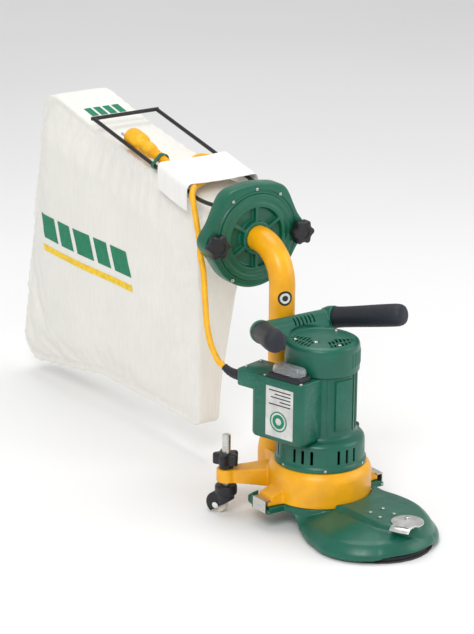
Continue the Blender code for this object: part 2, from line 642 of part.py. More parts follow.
def make_switch_box(green):
    shell = rounded([(-0.035, 0.040, 0), (0.070, 0.040, 0), (0.070, 0.097, 0.012),
                     (-0.035, 0.097, 0.012)], 4)
    foot = [flat_loop(inset(shell, d), z) for d, z in ((0.007, 0.1480), (0.0022, 0.1500), (0.0, 0.1550),
                                                       (0.0, 0.2510))]
    box = loops_solid("switch_box", in_box(foot), green)
    entry = rounded([(0.060, 0.050, 0), (0.099, 0.050, 0), (0.099, 0.097, 0.006), (0.060, 0.097, 0)], 3)
    fuse(box, loops_solid("entry", in_box([flat_loop(entry, z) for z in (0.2260, 0.2510)])))
    place = box_place()
    motor_side = rod("motor_side", (0, MOTOR_Y, 0.14), (0, MOTOR_Y, 0.26), MOTOR_R + GAP, sides=ROUND)
    shoulder = rod("shoulder", (0, MOTOR_Y, 0.14), (0, MOTOR_Y, 0.1565), 0.0645, sides=ROUND)
    room = block("room", (-0.0300, 0.0590, 0.1510), (0.0650, 0.0920, 0.2530), None, place)
    entry_room = block("entry_room", (0.060, 0.0590, 0.2290), (0.0960, 0.0940, 0.2530), None, place)
    return cut(box, motor_side, shoulder, room, entry_room)


def make_lid(green):
    outline = rounded([(-0.035, 0.034, 0), (0.099, 0.034, 0), (0.099, 0.097, 0.006),
                       (-0.035, 0.097, 0.012)], 4)
    levels = ((0.0, 0.2513), (0.0, 0.2538), (0.0008, 0.2547))
    lid = loops_solid("switch_lid", in_box([flat_loop(inset(outline, d), z) for d, z in levels]), green)
    hole = rod("hole", (0, MOTOR_Y, 0.24), (0, MOTOR_Y, 0.26), MOTOR_R + GAP, sides=ROUND)
    window = block("window", (-0.0180, 0.0680, 0.24), (0.0260, 0.0890, 0.26), None, box_place())
    return cut(lid, hole, window)


def make_switch(black, clear):
    outer = rounded([(-0.028, 0.0622, 0.003), (0.036, 0.0622, 0.003), (0.036, 0.0945, 0.003),
                     (-0.028, 0.0945, 0.003)])
    inner = rounded([(-0.0200, 0.0675, 0.002), (0.0280, 0.0675, 0.002), (0.0280, 0.0892, 0.002),
                     (-0.0200, 0.0892, 0.002)])
    frame = [(inner, 0, 0.2550), (outer, 0, 0.2550), (outer, 0, 0.2622), (outer, 0.0015, 0.2636),
             (inner, 0, 0.2636)]
    loops_solid("switch_frame", in_box([flat_loop(inset(o, d), z) for o, d, z in frame]), black, ring=True)

    pivot = box_place() @ Vector((0.004, 0.0785, 0.2570))
    rocker = rounded([(-0.0165, 0.0700, 0.0015), (0.0245, 0.0700, 0.0015), (0.0245, 0.0870, 0.0015),
                      (-0.0165, 0.0870, 0.0015)], 2)
    levels = ((0, 0.2530), (0, 0.2640), (0.001, 0.2655))
    made = loops_solid("rocker", in_box([flat_loop(inset(rocker, d), z) for d, z in levels]), black)
    move_origin(made, pivot)

    dome = rounded([(-0.0250, 0.0650, 0.010), (0.0330, 0.0650, 0.010), (0.0330, 0.0917, 0.010),
                    (-0.0250, 0.0917, 0.010)], 4)
    shell = ((0.0070, 0.2748), (0.0040, 0.2735), (0.0020, 0.2700), (0.0014, 0.2640), (0, 0.2640),
             (0.0002, 0.2700), (0.0024, 0.2746), (0.0062, 0.2766))
    loops_solid("switch_cover", in_box([flat_loop(inset(dome, d), z) for d, z in shell]), clear)


# ---------------------------------------------------------------- cord
def gland_path():
    """Straight out of the box, then a gentle lift."""
    start = box_place() @ Vector((0.0993, 0.0830, 0.2385))
    out = box_place().to_3x3() @ Vector((1, 0, 0))
    path = [start]
    for lift in (0, 0, 8, 18, 28):
        tilt = math.radians(lift)
        path.append(path[-1] + (out * math.cos(tilt) + Vector((0, 0, math.sin(tilt)))) * 0.0075)
    return path, (path[-1] - path[-2]).normalized()


PLUG_AXIS = Vector((0.060, 0.985, 0.150)).normalized()
PLUG_START = Vector((-0.0500, 0.5420, 0.5170))


def cord_route():
    """From the gland up to the bag's near rod, under the flap to the far rod, and back to the plug."""
    path, heading = gland_path()
    start = path[-1] + heading * 0.0006
    rise = [start, start + heading * 0.006, start + heading * 0.015, (-0.1210, 0.3030, 0.2765),
            (-0.1150, 0.3240, 0.3060), (-0.1050, 0.3440, 0.3410), (-0.0925, 0.3675, 0.3770),
            (-0.0865, 0.3855, 0.3990), (-0.0820, 0.3945, 0.4190), (-0.0800, 0.4075, 0.4510),
            (-0.0775, 0.4200, 0.4780), (-0.0735, 0.4300, 0.4905), (-0.0640, 0.4400, 0.4975)]
    under_flap = [(-0.0500, 0.4560, 0.4950), (-0.0260, 0.4740, 0.4935), (0.0020, 0.4880, 0.4950),
                  (0.0260, 0.5010, 0.4985)]
    far_turn = [(0.0435, 0.5118, 0.5015), (0.0527, 0.5210, 0.5033), (0.0560, 0.5335, 0.5055),
                (0.0527, 0.5460, 0.5085), (0.0435, 0.5552, 0.5110), (0.0310, 0.5582, 0.5130)]
    back = [(0.0149, 0.5527, 0.5135), (0.0000, 0.5380, 0.5115), (-0.0139, 0.5245, 0.5090),
            (-0.0280, 0.5187, 0.5080), (-0.0421, 0.5238, 0.5100), (-0.0492, 0.5340, 0.5140),
            PLUG_START - PLUG_AXIS * 0.0035, PLUG_START - PLUG_AXIS * 0.0008]
    return rise + under_flap + far_turn + back


def make_cord(yellow):
    route = smooth_path(cord_route(), 3)
    curve = bpy.data.curves.new("power_cord", "CURVE")
    curve.dimensions = "3D"
    curve.bevel_depth = CORD_R
    curve.bevel_resolution = 2
    curve.use_fill_caps = True
    spline = curve.splines.new("POLY")
    spline.points.add(len(route) - 1)
    for point, place in zip(spline.points, route):
        point.co = (*place, 1)
    made = bpy.data.objects.new("power_cord", curve)
    curve.materials.append(yellow)
    bpy.context.scene.collection.objects.link(made)


def make_gland(black):
    path, _ = gland_path()
    radii = (0.0088, 0.0088, 0.0075, 0.0069, 0.0064, 0.0060)
    loops_solid("cable_gland", swept_rings(path, radii, SMALL), black)


def make_plug(yellow):
    """A straight two-pin plug: ribbed boot, collar, round head and pins."""
    boot = [(0, 0), (0.0060, 0)]
    for k in range(4):
        boot += [(0.0070 + 0.0007 * k, 0.002 + 0.012 * k), (0.0070 + 0.0007 * k, 0.0115 + 0.012 * k)]
    head = [(0.0125, 0.0530), (0.0132, 0.0640), (0.0108, 0.0740), (0.0120, 0.0800), (0.0168, 0.0860),
            (0.0175, 0.0950), (0.0175, 0.1150), (0.0160, 0.1220), (0, 0.1220)]
    plug = lathe("plug", boot + head, yellow, PLUG_START, PLUG_AXIS, 16)
    across = PLUG_AXIS.cross(Vector((0, 0, 1))).normalized()
    pins = []
    for s in (-1, 1):
        foot = PLUG_START + PLUG_AXIS * 0.120 + across * (s * 0.0095)
        pins.append(rod("pin", foot, foot + PLUG_AXIS * 0.021, 0.0024, sides=10))
    return fuse(plug, *pins)


# ---------------------------------------------------------------- casters
def make_caster(side, s, steel, chrome, black, white):
    axis = Vector((s * CASTER_X, CASTER_Y, 0))
    spindle = lathe("caster_spindle_" + side, [(0, 0.0380), (0.0070, 0.0380), (0.0070, 0.1360),
                                               (0.0062, 0.1370), (0, 0.1370)], steel, axis, sides=16)
    turn = Matrix.Translation(axis) @ Matrix.Rotation(math.radians(25), 4, "Z")
    flats = [block("flat", (0.0058, -0.02, 0.1150), (0.02, 0.02, 0.1450), None, turn),
             block("flat", (-0.02, -0.02, 0.1150), (-0.0058, 0.02, 0.1450), None, turn)]
    cut(spindle, *flats)

    knob_r = 0.0073
    bore = circle(knob_r, 30)
    star = lobed(0.0188, 0.0034, 5, 6)
    collar = circle(0.0115, 30)
    levels = [(bore, 0.0797), (collar, 0.0797), (collar, 0.0862), (inset(star, 0.0015), 0.0862),
              (star, 0.0880), (star, 0.1035), (inset(star, 0.0015), 0.1055), (bore, 0.1055)]
    rings = [[axis + Vector((x, y, z)) for x, y in points] for points, z in levels]
    loops_solid("caster_knob_" + side, rings, black, axis + Vector((0, 0, 0.0925)), ring=True)

    trail = Vector((0.42 * s, 0.9075, 0))
    across = Vector((0.9075, -0.42 * s, 0))
    centre = axis + trail * 0.013 + Vector((0, 0, WHEEL_R))
    cup = [(0, 0.0335), (0.0160, 0.0335), (0.0180, 0.0365), (0.0182, 0.0485), (0.0170, 0.0500), (0, 0.0500)]
    hood = lathe("caster_hood_" + side, cup, black, axis, sides=18)
    lift = Vector((0, 0, 0.003))
    fender = rod("fender", centre - across * 0.0105 + lift, centre + across * 0.0105 + lift, 0.0185, sides=16)
    neck = rod("neck", axis + Vector((0, 0, 0.018)), axis + Vector((0, 0, 0.040)), 0.0140, sides=16)
    fuse(hood, fender, neck)
    slot = rod("slot", centre - across * 0.0068, centre + across * 0.0068, WHEEL_R + 0.0012, sides=16)
    slope = math.radians(33)
    rising = Vector((0, 0, math.sin(slope))) - trail * math.cos(slope)
    below = Matrix((across, rising, across.cross(rising))).transposed().to_4x4()
    below.translation = centre - Vector((0, 0, 0.0060))
    side_of_wheel = 1 if below.col[2].z > 0 else -1
    under = block("under", (-0.05, -0.06, min(0, -0.06 * side_of_wheel)),
                  (0.05, 0.06, max(0, -0.06 * side_of_wheel)), None, below)
    pivot = rod("pivot", axis + Vector((0, 0, 0.0377)), axis + Vector((0, 0, 0.06)),
                0.0070 + RUNNING, sides=16)
    bolt = rod("bolt", centre - across * 0.02, centre + across * 0.02, 0.0030 + RUNNING, sides=12)
    cut(hood, slot, under, pivot, bolt)

    lathe("caster_wheel_" + side, [(0.0033, -0.0058), (0.0130, -0.0058), (0.0146, -0.0048),
                                   (WHEEL_R, -0.0030), (WHEEL_R, 0.0030), (0.0146, 0.0048),
                                   (0.0130, 0.0058), (0.0033, 0.0058)], white, centre, across, 20)
    head = 0.0055
    lathe("caster_axle_" + side, [(0, -0.0138), (head - 0.001, -0.0138), (head, -0.0130), (head, -0.0109),
                                  (0.0030, -0.0109), (0.0030, 0.0109), (head, 0.0109), (head, 0.0130),
                                  (head - 0.001, 0.0138), (0, 0.0138)], chrome, centre, across, 16)


# ---------------------------------------------------------------- pipe, flange and clamp
def make_pipe(yellow):
    foot = 0.0703
    straight = FLANGE_Z - BEND_R
    path = [(0, PIPE_Y, foot), (0, PIPE_Y, 0.150), (0, PIPE_Y, straight)]
    for k in range(1, 7):
        angle = math.radians(90 * k / 6)
        path.append((0, PIPE_Y + BEND_R * (1 - math.cos(angle)), straight + BEND_R * math.sin(angle)))
    path.append((0, 0.3620, FLANGE_Z))
    outside = swept_rings(path, [PIPE_R] * len(path), 18)
    inside = swept_rings(path, [PIPE_BORE] * len(path), 18)
    return loops_solid("suction_pipe", outside + inside[::-1], yellow, (0, PIPE_Y, foot), ring=True)


def make_flange(green):
    hub = Vector((0, 0, FLANGE_Z))
    profile = [(PIPE_R + GAP, 0.3440), (0.0280, 0.3440), (0.0285, 0.3560), (0.0490, 0.3560),
               (0.0515, FLANGE_Y), (0.0725, FLANGE_Y), (0.0735, 0.3490), (0.0735, 0.3660),
               (PIPE_R + GAP, 0.3660)]
    flange = lathe("pipe_flange", profile, green, hub, (0, 1, 0))
    ribs = []
    for k in range(6):
        turn = Matrix.Translation(hub) @ Matrix.Rotation(math.radians(30 + 60 * k), 4, "Y")
        ribs.append(block("rib", (0.0262, 0.3480, -0.0022), (0.0520, 0.3580, 0.0022), None, turn))
    return fuse(flange, *ribs)


def clamp_radius(angle):
    """The clamp frame's edge: larger at the top, with two ears and two upper lugs for the rods."""
    turn = math.degrees(angle) % 360
    edge = 0.0855 + 0.0055 * max(0, math.sin(angle))
    bumps = ((0, 0.0150, 14), (180, 0.0150, 14), (360, 0.0150, 14), (55, 0.0075, 15), (125, 0.0075, 15))
    for centre, height, width in bumps:
        edge += height * math.exp(-(((turn - centre) / width) ** 2))
    return edge


def make_clamp_frame(green):
    count = 44
    hub = Vector((0, 0, FLANGE_Z))

    def loop(radius, y):
        turns = [2 * math.pi * k / count for k in range(count)]
        return [hub + Vector((radius(a) * math.cos(a), y, radius(a) * math.sin(a))) for a in turns]

    levels = [loop(lambda a: 0.0742, 0.3500), loop(lambda a: clamp_radius(a) - 0.0025, 0.3500),
              loop(clamp_radius, 0.3530), loop(clamp_radius, 0.3750),
              loop(lambda a: clamp_radius(a) - 0.0020, CLAMP_BACK), loop(lambda a: 0.0660, CLAMP_BACK),
              loop(lambda a: 0.0660, 0.3697), loop(lambda a: 0.0742, 0.3697)]
    frame = loops_solid("clamp_frame", levels, green, hub, ring=True)
    holes = [rod("hole", (s * 0.0845, 0.34, FLANGE_Z - 0.001), (s * 0.0845, 0.39, FLANGE_Z - 0.001),
                 0.0043, sides=16) for s in (-1, 1)]
    return cut(frame, *holes)


def make_clamp_knob(name, s, black):
    centre = Vector((s * 0.0845, 0, FLANGE_Z - 0.001))
    star = lobed(0.0190, 0.0022, 6, 5)
    levels = ((0.0020, 0.3302), (0.0, 0.3320), (0.0, 0.3450), (0.0020, 0.3470))
    rings = [[centre + Vector((x, y, z)) for x, z in inset(star, d)] for d, y in levels]
    knob = loops_solid(name, rings, black, centre + Vector((0, 0.3390, 0)))
    return fuse(knob, rod("stud", centre + Vector((0, 0.3450, 0)), centre + Vector((0, 0.3860, 0)),
                          0.0040, sides=16))


# ---------------------------------------------------------------- bag
def rod_height(y):
    """Height of the bag's side rods, which rise towards the back."""
    return 0.486 + (y - 0.440) * 0.2115


def make_rods(black):
    for name, s in (("bag_rod_left", -1), ("bag_rod_right", 1)):
        path = smooth_path([(s * 0.0665, CLAMP_BACK + 0.0010, 0.4840), (s * 0.0672, 0.4000, 0.4835),
                            (s * 0.0660, 0.4250, 0.4840), (s * ROD_X, 0.4450, rod_height(0.4450))], 3)
        path += [(s * ROD_X, y, rod_height(y)) for y in (0.500, 0.620, 0.7462)]
        loops_solid(name, swept_rings(path, [ROD_R] * len(path), 10), black)
    end = ROD_X + ROD_R
    rod("bag_rod_rear", (-end, 0.7500, rod_height(0.7500)), (end, 0.7500, rod_height(0.7500)), ROD_R,
        black, sides=12)


def bag_half_width(z):
    return 0.040 + 0.0200 * (z - 0.060) / 0.490


def bag_outline():
    """Side view of the bag as (y, z)."""
    corners = [(0.446, 0.476, 0.012), (0.452, 0.064, 0.022), (0.600, 0.070, 0.10), (0.760, 0.070, 0.10),
               (1.010, 0.030, 0.030), (1.050, 0.066, 0.035), (0.926, 0.573, 0.040), (0.750, 0.531, 0.10)]
    return rounded([(y, z, r) for y, z, r in corners], 3)


def make_bag(cloth):
    """A hollow cotton bag with a round neck that meets the clamp frame."""
    outline = bag_outline()
    inner = inset(outline, CLOTH)
    skins = []
    for name, points, thinner in (("dust_bag", outline, 0), ("inside", inner, CLOTH)):
        sides = []
        for s in (-1, 1):
            sides.append([(s * (bag_half_width(z) - thinner), y, z) for y, z in points])
        skins.append(loops_solid(name, sides, cloth if name == "dust_bag" else None))
    bag, inside = skins
    hub = Vector((0, 0, FLANGE_Z))
    start, end = CLAMP_BACK + 0.0005, 0.4500
    neck = lathe("neck", [(0, start), (0.0620, start), (0.0500, end), (0, end)], None, hub, (0, 1, 0),
                 MEDIUM)
    fuse(bag, neck)
    bore = lathe("bore", [(0, start - 0.01), (0.0590, start - 0.01), (0.0590, start),
                          (0.0470, end + 0.01), (0, end + 0.01)], None, hub, (0, 1, 0), MEDIUM)
    return cut(bag, inside, bore)


def make_flap(cloth):
    """A cloth flap over both rods at the front of the bag's top."""
    half, thick, hem = 0.0725, 0.0025, 0.030
    section = [(-half, -hem), (-half, 0.013), (-half + 0.006, 0.0175), (half - 0.006, 0.0175),
               (half, 0.013), (half, -hem), (half - thick, -hem), (half - thick, 0.0125),
               (half - 0.008, 0.0150), (0.008 - half, 0.0150), (thick - half, 0.0125),
               (thick - half, -hem)]
    loops = [[(x, y, rod_height(y) + z) for x, z in section] for y in (0.4480, 0.4920, 0.5360)]
    return loops_solid("bag_flap", loops, cloth)


# ---------------------------------------------------------------- assembly
def main():
    for old in list(bpy.data.objects):
        bpy.data.objects.remove(old)
    green = paint("green_paint", (0.0, 0.135, 0.075), 0.38)
    yellow = paint("yellow_paint", (0.95, 0.46, 0.0), 0.35)
    rubber = paint("black_rubber", (0.012, 0.014, 0.020), 0.6)
    plastic = paint("black_plastic", (0.012, 0.013, 0.018), 0.4)
    cord_skin = paint("yellow_cord", (0.95, 0.42, 0.0), 0.45)
    steel = paint("bright_steel", (0.62, 0.61, 0.58), 0.3, 1.0)
    chrome = paint("chrome_bolt", (0.78, 0.78, 0.78), 0.12, 1.0)
    cast = paint("cast_aluminium", (0.55, 0.55, 0.55), 0.45, 1.0)
    copper = paint("copper_windings", (0.60, 0.26, 0.12), 0.4, 0.8)
    carbon = paint("carbon", (0.03, 0.03, 0.03), 0.7)
    grit = paint("abrasive_grit", (0.10, 0.09, 0.085), 0.9)
    wheel = paint("white_wheel", (0.72, 0.69, 0.60), 0.4)
    clear = paint("clear_cover", (0.85, 0.87, 0.88), 0.08)
    wire = paint("black_wire", (0.015, 0.015, 0.018), 0.45)
    cloth = paint("cotton", (0.86, 0.85, 0.80), 0.95)
    seal = paint("seal_rubber", (0.03, 0.03, 0.03), 0.8)

    make_base(yellow)
    make_arm(green)
    make_arm_cover(green)
    make_turn_plate(steel)
    for side, s in (("left", -1), ("right", 1)):
        make_latch("latch_" + side, s, steel)
        rod("latch_pin_" + side, (s * 0.115, 0.1428, 0.0345), (s * 0.115, 0.1856, 0.0345), 0.0016, steel,
            sides=12)
        make_caster(side, s, steel, chrome, plastic, wheel)
        make_clamp_knob("clamp_knob_" + side, s, plastic)
        make_grip("grip_" + side, s, rubber)
    make_drive(steel, rubber, grit, cast)
    make_motor_inside(steel, copper, plastic, carbon)
    make_motor_housing(green)
    make_cap(green)
    make_switch_box(green)
    make_lid(green)
    make_switch(plastic, clear)
    make_gland(rubber)
    make_cord(cord_skin)
    make_plug(cord_skin)
    make_pipe(yellow)
    make_flange(green)
    make_clamp_frame(green)
    lathe("flange_seal", ring_profile(0.0670, 0.0732, 0.3663, 0.3692), seal, (0, 0, FLANGE_Z), (0, 1, 0),
          MEDIUM)
    make_rods(wire)
    make_bag(cloth)
    make_flap(cloth)

    for made in bpy.data.objects:
        made.location -= HEAD
        if made.type == "MESH":
            made.data.shade_smooth()
            made.data.set_sharp_from_angle(angle=math.radians(32))


main()
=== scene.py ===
"""Looks of the floor edge sander: fine castings, sewn dust bag, cord, materials, light and camera.

Metres, +Z up. The machine is drawn with the motor and the pipe in the plane X = 0, and every piece is
then moved by -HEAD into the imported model's frame, whose origin is the disc's face.
"""
import json
import math

import bmesh
import bpy
import numpy as np
from mathutils import Matrix, Vector, noise
from mathutils.bvhtree import BVHTree


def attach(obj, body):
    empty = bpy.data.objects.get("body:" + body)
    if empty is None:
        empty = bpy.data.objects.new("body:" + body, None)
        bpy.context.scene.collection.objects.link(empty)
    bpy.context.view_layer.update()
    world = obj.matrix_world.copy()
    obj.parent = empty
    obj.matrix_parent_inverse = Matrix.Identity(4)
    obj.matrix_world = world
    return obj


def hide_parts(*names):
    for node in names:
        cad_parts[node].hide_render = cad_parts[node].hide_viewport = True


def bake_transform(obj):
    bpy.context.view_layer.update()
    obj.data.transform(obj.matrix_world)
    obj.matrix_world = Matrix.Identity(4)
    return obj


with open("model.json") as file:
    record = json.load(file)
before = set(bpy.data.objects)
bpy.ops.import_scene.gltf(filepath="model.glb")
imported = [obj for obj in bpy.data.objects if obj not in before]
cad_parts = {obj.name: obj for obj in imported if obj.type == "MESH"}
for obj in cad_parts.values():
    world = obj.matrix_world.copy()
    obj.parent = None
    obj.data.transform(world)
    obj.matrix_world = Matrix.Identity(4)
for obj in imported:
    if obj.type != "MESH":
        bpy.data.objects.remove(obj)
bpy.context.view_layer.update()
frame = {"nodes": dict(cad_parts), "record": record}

HEAD = Vector((0.008, 0.017, 0))
MOTOR_Y = 0.162
PIPE_Y = 0.275
MOTOR = Vector((0, MOTOR_Y, 0))
PIPE_R = 0.0215
PIPE_BORE = 0.019
FLANGE_Z = 0.426
HUB = Vector((0, 0, FLANGE_Z))
KNOB_X = 0.0845  # clamp knobs, beside the hub
KNOB_Z = 0.425
CASTER_X = 0.124
CASTER_Y = 0.251
ROD_X = 0.065  # the bag's side rods
ROD_R = 0.0035
CORD_R = 0.005
BOX_TURN = math.radians(105)
SIDES = (("left", -1), ("right", 1))
ROUND = 128  # sides of the large round pieces
MEDIUM = 64
SMALL = 32
THREADS = 620.0 / 6.0  # scale of the weave


# ---------------------------------------------------------------- node materials
class Nodes:
    """Short calls that add shader nodes to one material."""

    def __init__(self, name):
        self.material = bpy.data.materials.new(name)
        self.material.use_nodes = True
        self.tree = self.material.node_tree
        self.shader = self.tree.nodes["Principled BSDF"]
        self.where = self.add("ShaderNodeTexCoord").outputs["Object"]

    def add(self, kind, values=None, **settings):
        """A node with its settings, and its inputs set or linked by name."""
        node = self.tree.nodes.new(kind)
        for key, value in settings.items():
            setattr(node, key, value)
        for key, value in (values or {}).items():
            self.feed(node.inputs[key], value)
        return node

    def feed(self, socket, value):
        """Link a socket to another node's output, or give it a value or a colour."""
        if isinstance(value, bpy.types.NodeSocket):
            self.tree.links.new(value, socket)
        elif socket.type == "RGBA":
            socket.default_value = (*value, 1)
        else:
            socket.default_value = value

    def noise(self, scale, detail=3.0, stretch=(1, 1, 1), rough=0.5):
        mapping = self.add("ShaderNodeMapping", {"Scale": stretch, "Vector": self.where})
        where = mapping.outputs["Vector"]
        values = {"Scale": scale, "Detail": detail, "Roughness": rough, "Vector": where}
        return self.add("ShaderNodeTexNoise", values).outputs["Fac"]

    def wave(self, scale, direction, distortion=0.6):
        values = {"Scale": scale, "Distortion": distortion, "Detail Scale": 3.0, "Vector": self.where}
        return self.add("ShaderNodeTexWave", values, bands_direction=direction).outputs["Fac"]

    def ramp(self, value, low, high, start=0.35, end=0.65):
        values = {"From Min": start, "From Max": end, "To Min": low, "To Max": high, "Value": value}
        return self.add("ShaderNodeMapRange", values).outputs["Result"]

    def math(self, operation, a, b):
        made = self.add("ShaderNodeMath", operation=operation)
        self.feed(made.inputs[0], a)
        self.feed(made.inputs[1], b)
        return made.outputs["Value"]

    def mix(self, factor, one, two):
        made = self.add("ShaderNodeMix", data_type="RGBA")
        for name, value in (("Factor", factor), ("A", one), ("B", two)):
            self.feed(made.inputs[name], value)
        return made.outputs["Result"]

    def edges(self, start, end):
        """0 on flat surfaces, 1 on sharp outer edges."""
        return self.ramp(self.add("ShaderNodeNewGeometry").outputs["Pointiness"], 0, 1, start, end)

    def finish(self, colour, roughness, bumps=(), **inputs):
        """Feed the shader; bumps are (height, strength, depth), one on top of the other."""
        self.feed(self.shader.inputs["Base Color"], colour)
        self.feed(self.shader.inputs["Roughness"], roughness)
        normal = {}
        for height, strength, depth in bumps:
            values = {"Strength": strength, "Distance": depth, "Height": height, **normal}
            normal = {"Normal": self.add("ShaderNodeBump", values).outputs["Normal"]}
        if normal:
            self.feed(self.shader.inputs["Normal"], normal["Normal"])
        for key, value in inputs.items():
            self.shader.inputs[key.replace("_", " ")].default_value = value
        return self.material


def shade(colour, factor):
    return tuple(min(1.0, c * factor) for c in colour)


def paint(name, colour, roughness=0.34, worn=(0.3, 0.3, 0.28), coat=0.25):
    """Sprayed enamel on a casting: orange peel, slight mottling and lighter worn edges."""
    n = Nodes(name)
    mottled = n.mix(n.ramp(n.noise(22, 4), 0, 1), shade(colour, 0.88), shade(colour, 1.10))
    edge = n.math("MULTIPLY", n.edges(0.53, 0.62), n.ramp(n.noise(160, 5), 0.0, 0.45, 0.45, 0.7))
    coloured = n.mix(edge, mottled, worn)
    rough = n.ramp(n.noise(60, 4), roughness - 0.05, roughness + 0.10, 0.3, 0.7)
    bumps = ((n.noise(520, 2), 0.16, 0.0004), (n.noise(90, 3), 0.10, 0.0010))
    return n.finish(coloured, rough, bumps, Coat_Weight=coat, Coat_Roughness=0.22)


def plastic(name, colour, roughness=0.5, grain=1400, depth=0.0003):
    n = Nodes(name)
    coloured = n.mix(n.ramp(n.noise(70, 3), 0, 1), shade(colour, 0.92), shade(colour, 1.10))
    rough = n.ramp(n.noise(130, 3), roughness - 0.06, roughness + 0.08, 0.3, 0.7)
    return n.finish(coloured, rough, ((n.noise(grain, 2), 0.35, depth),), Specular_IOR_Level=0.45)


def metal(name, colour, roughness, brushed=(1, 1, 30), bump=0.10):
    n = Nodes(name)
    streaks = n.noise(60, 4, brushed)
    coloured = n.mix(n.ramp(streaks, 0, 1), shade(colour, 0.82), shade(colour, 1.08))
    rough = n.ramp(streaks, roughness - 0.06, roughness + 0.10, 0.3, 0.7)
    return n.finish(coloured, rough, ((streaks, bump, 0.0003),), Metallic=1.0)


def cotton(name, colour):
    """Plain weave: two crossing rows of threads, slubs, and faint handling marks."""
    n = Nodes(name)
    warp = n.wave(THREADS, "Y", 1.2)
    weft = n.wave(THREADS, "Z", 1.2)
    weave = n.math("MULTIPLY", warp, weft)
    slub = n.noise(240, 3, (1, 1, 0.12))
    marks = n.ramp(n.noise(7, 5, (1, 1, 1), 0.6), 0, 1, 0.35, 0.75)
    base = n.mix(marks, colour, shade(colour, 0.93))
    coloured = n.mix(n.ramp(slub, 0, 0.35), base, shade(colour, 0.86))
    rough = n.ramp(slub, 0.86, 0.98)
    bumps = ((weave, 0.25, 0.0005), (slub, 0.15, 0.0006), (n.noise(38, 4), 0.22, 0.004))
    return n.finish(coloured, rough, bumps, Sheen_Weight=0.25, Sheen_Roughness=0.6, Specular_IOR_Level=0.2)


def flat_print(name, colour):
    """Ink printed on the weave."""
    n = Nodes(name)
    weave = n.math("MULTIPLY", n.wave(THREADS, "Y", 1.2), n.wave(THREADS, "Z", 1.2))
    coloured = n.mix(n.ramp(n.noise(90, 4), 0, 1), shade(colour, 0.85), shade(colour, 1.08))
    return n.finish(coloured, 0.6, ((weave, 0.15, 0.0004),))


def grit(name):
    n = Nodes(name)
    cells = n.add("ShaderNodeTexVoronoi", {"Scale": 900, "Vector": n.where})
    coloured = n.mix(cells.outputs["Distance"], (0.16, 0.14, 0.12), (0.03, 0.028, 0.026))
    return n.finish(coloured, 0.9, ((cells.outputs["Distance"], 0.8, 0.0006),))


GREEN = paint("green enamel", (0.000, 0.108, 0.066), 0.36, (0.02, 0.20, 0.145), 0.12)
DEEP_GREEN = paint("green flange enamel", (0.000, 0.112, 0.062), 0.33, (0.03, 0.22, 0.16), 0.12)
YELLOW = paint("yellow enamel", (0.93, 0.42, 0.001), 0.34, (0.80, 0.42, 0.05), 0.12)
RUBBER = plastic("black rubber", (0.014, 0.017, 0.026), 0.55)
PLASTIC = plastic("black moulding", (0.010, 0.011, 0.014), 0.38)
CORD_SKIN = plastic("yellow rubber", (0.92, 0.45, 0.006), 0.42, 700)
STEEL = metal("bright steel", (0.66, 0.65, 0.62), 0.30)
PLATED = metal("plated plate", (0.74, 0.74, 0.72), 0.30, (1, 1, 1), 0.05)
CHROME = metal("chrome", (0.82, 0.82, 0.82), 0.12, (1, 1, 1), 0.02)
CAST = metal("cast aluminium", (0.56, 0.56, 0.55), 0.45, (1, 1, 1), 0.3)
COPPER = metal("copper windings", (0.62, 0.27, 0.12), 0.38, (1, 1, 18), 0.5)
CARBON = plastic("carbon", (0.03, 0.03, 0.03), 0.7)
WHITE = plastic("nylon wheel", (0.72, 0.68, 0.58), 0.36)
WIRE = plastic("lacquered wire", (0.012, 0.012, 0.014), 0.32)
COTTON = cotton("cotton canvas", (0.86, 0.845, 0.79))
COTTON_FLAP = cotton("cotton flap", (0.90, 0.89, 0.86))
INK_GREEN = flat_print("green ink", (0.0, 0.21, 0.10))
INK_YELLOW = flat_print("yellow ink", (0.95, 0.62, 0.02))
FOIL = metal("silver label", (0.72, 0.72, 0.70), 0.42, (1, 1, 1), 0.05)
LABEL = plastic("yellow label", (0.85, 0.55, 0.05), 0.5)
DARK_INK = plastic("dark ink", (0.03, 0.03, 0.03), 0.5)
WHITE_INK = plastic("white ink", (0.75, 0.75, 0.72), 0.5)
GRIT = grit("abrasive grit")


def clear_plastic():
    n = Nodes("clear cover")
    coloured = n.mix(n.ramp(n.noise(40, 2), 0, 1), (0.80, 0.84, 0.86), (0.92, 0.94, 0.95))
    return n.finish(coloured, 0.10, ((n.noise(120, 2), 0.1, 0.0006),), Transmission_Weight=0.85, IOR=1.46)


CLEAR = clear_plastic()

NODE_LOOKS = {
    "yellow_paint": YELLOW, "green_paint": GREEN, "yellow_cord": CORD_SKIN, "bright_steel": STEEL,
    "chrome_bolt": CHROME, "cast_aluminium": CAST, "copper_windings": COPPER, "carbon": CARBON,
    "abrasive_grit": GRIT, "black_rubber": RUBBER, "black_plastic": PLASTIC, "clear_cover": CLEAR,
    "white_wheel": WHITE, "black_wire": WIRE, "cotton": COTTON,
}
SLOTS = {part["node"]: part["material_slot"] for part in frame["record"]["subparts"]}
for node, made in frame["nodes"].items():
    made.data.materials.clear()
    made.data.materials.append(NODE_LOOKS[SLOTS[node]])


# ---------------------------------------------------------------- making solids
def put(name, bm, look):
    bmesh.ops.recalc_face_normals(bm, faces=bm.faces)
    mesh = bpy.data.meshes.new(name)
    bm.to_mesh(mesh)
    bm.free()
    made = bpy.data.objects.new(name, mesh)
    bpy.context.scene.collection.objects.link(made)
    if look:
        mesh.materials.append(look)
    return made


def skin(bm, rows, closed):
    """Faces between each row of vertices and the next; closed joins each row's end to its start."""
    count = len(rows[0])
    for low, high in zip(rows, rows[1:]):
        for i in range(count if closed else count - 1):
            j = (i + 1) % count
            bm.faces.new((low[i], low[j], high[j], high[i]))


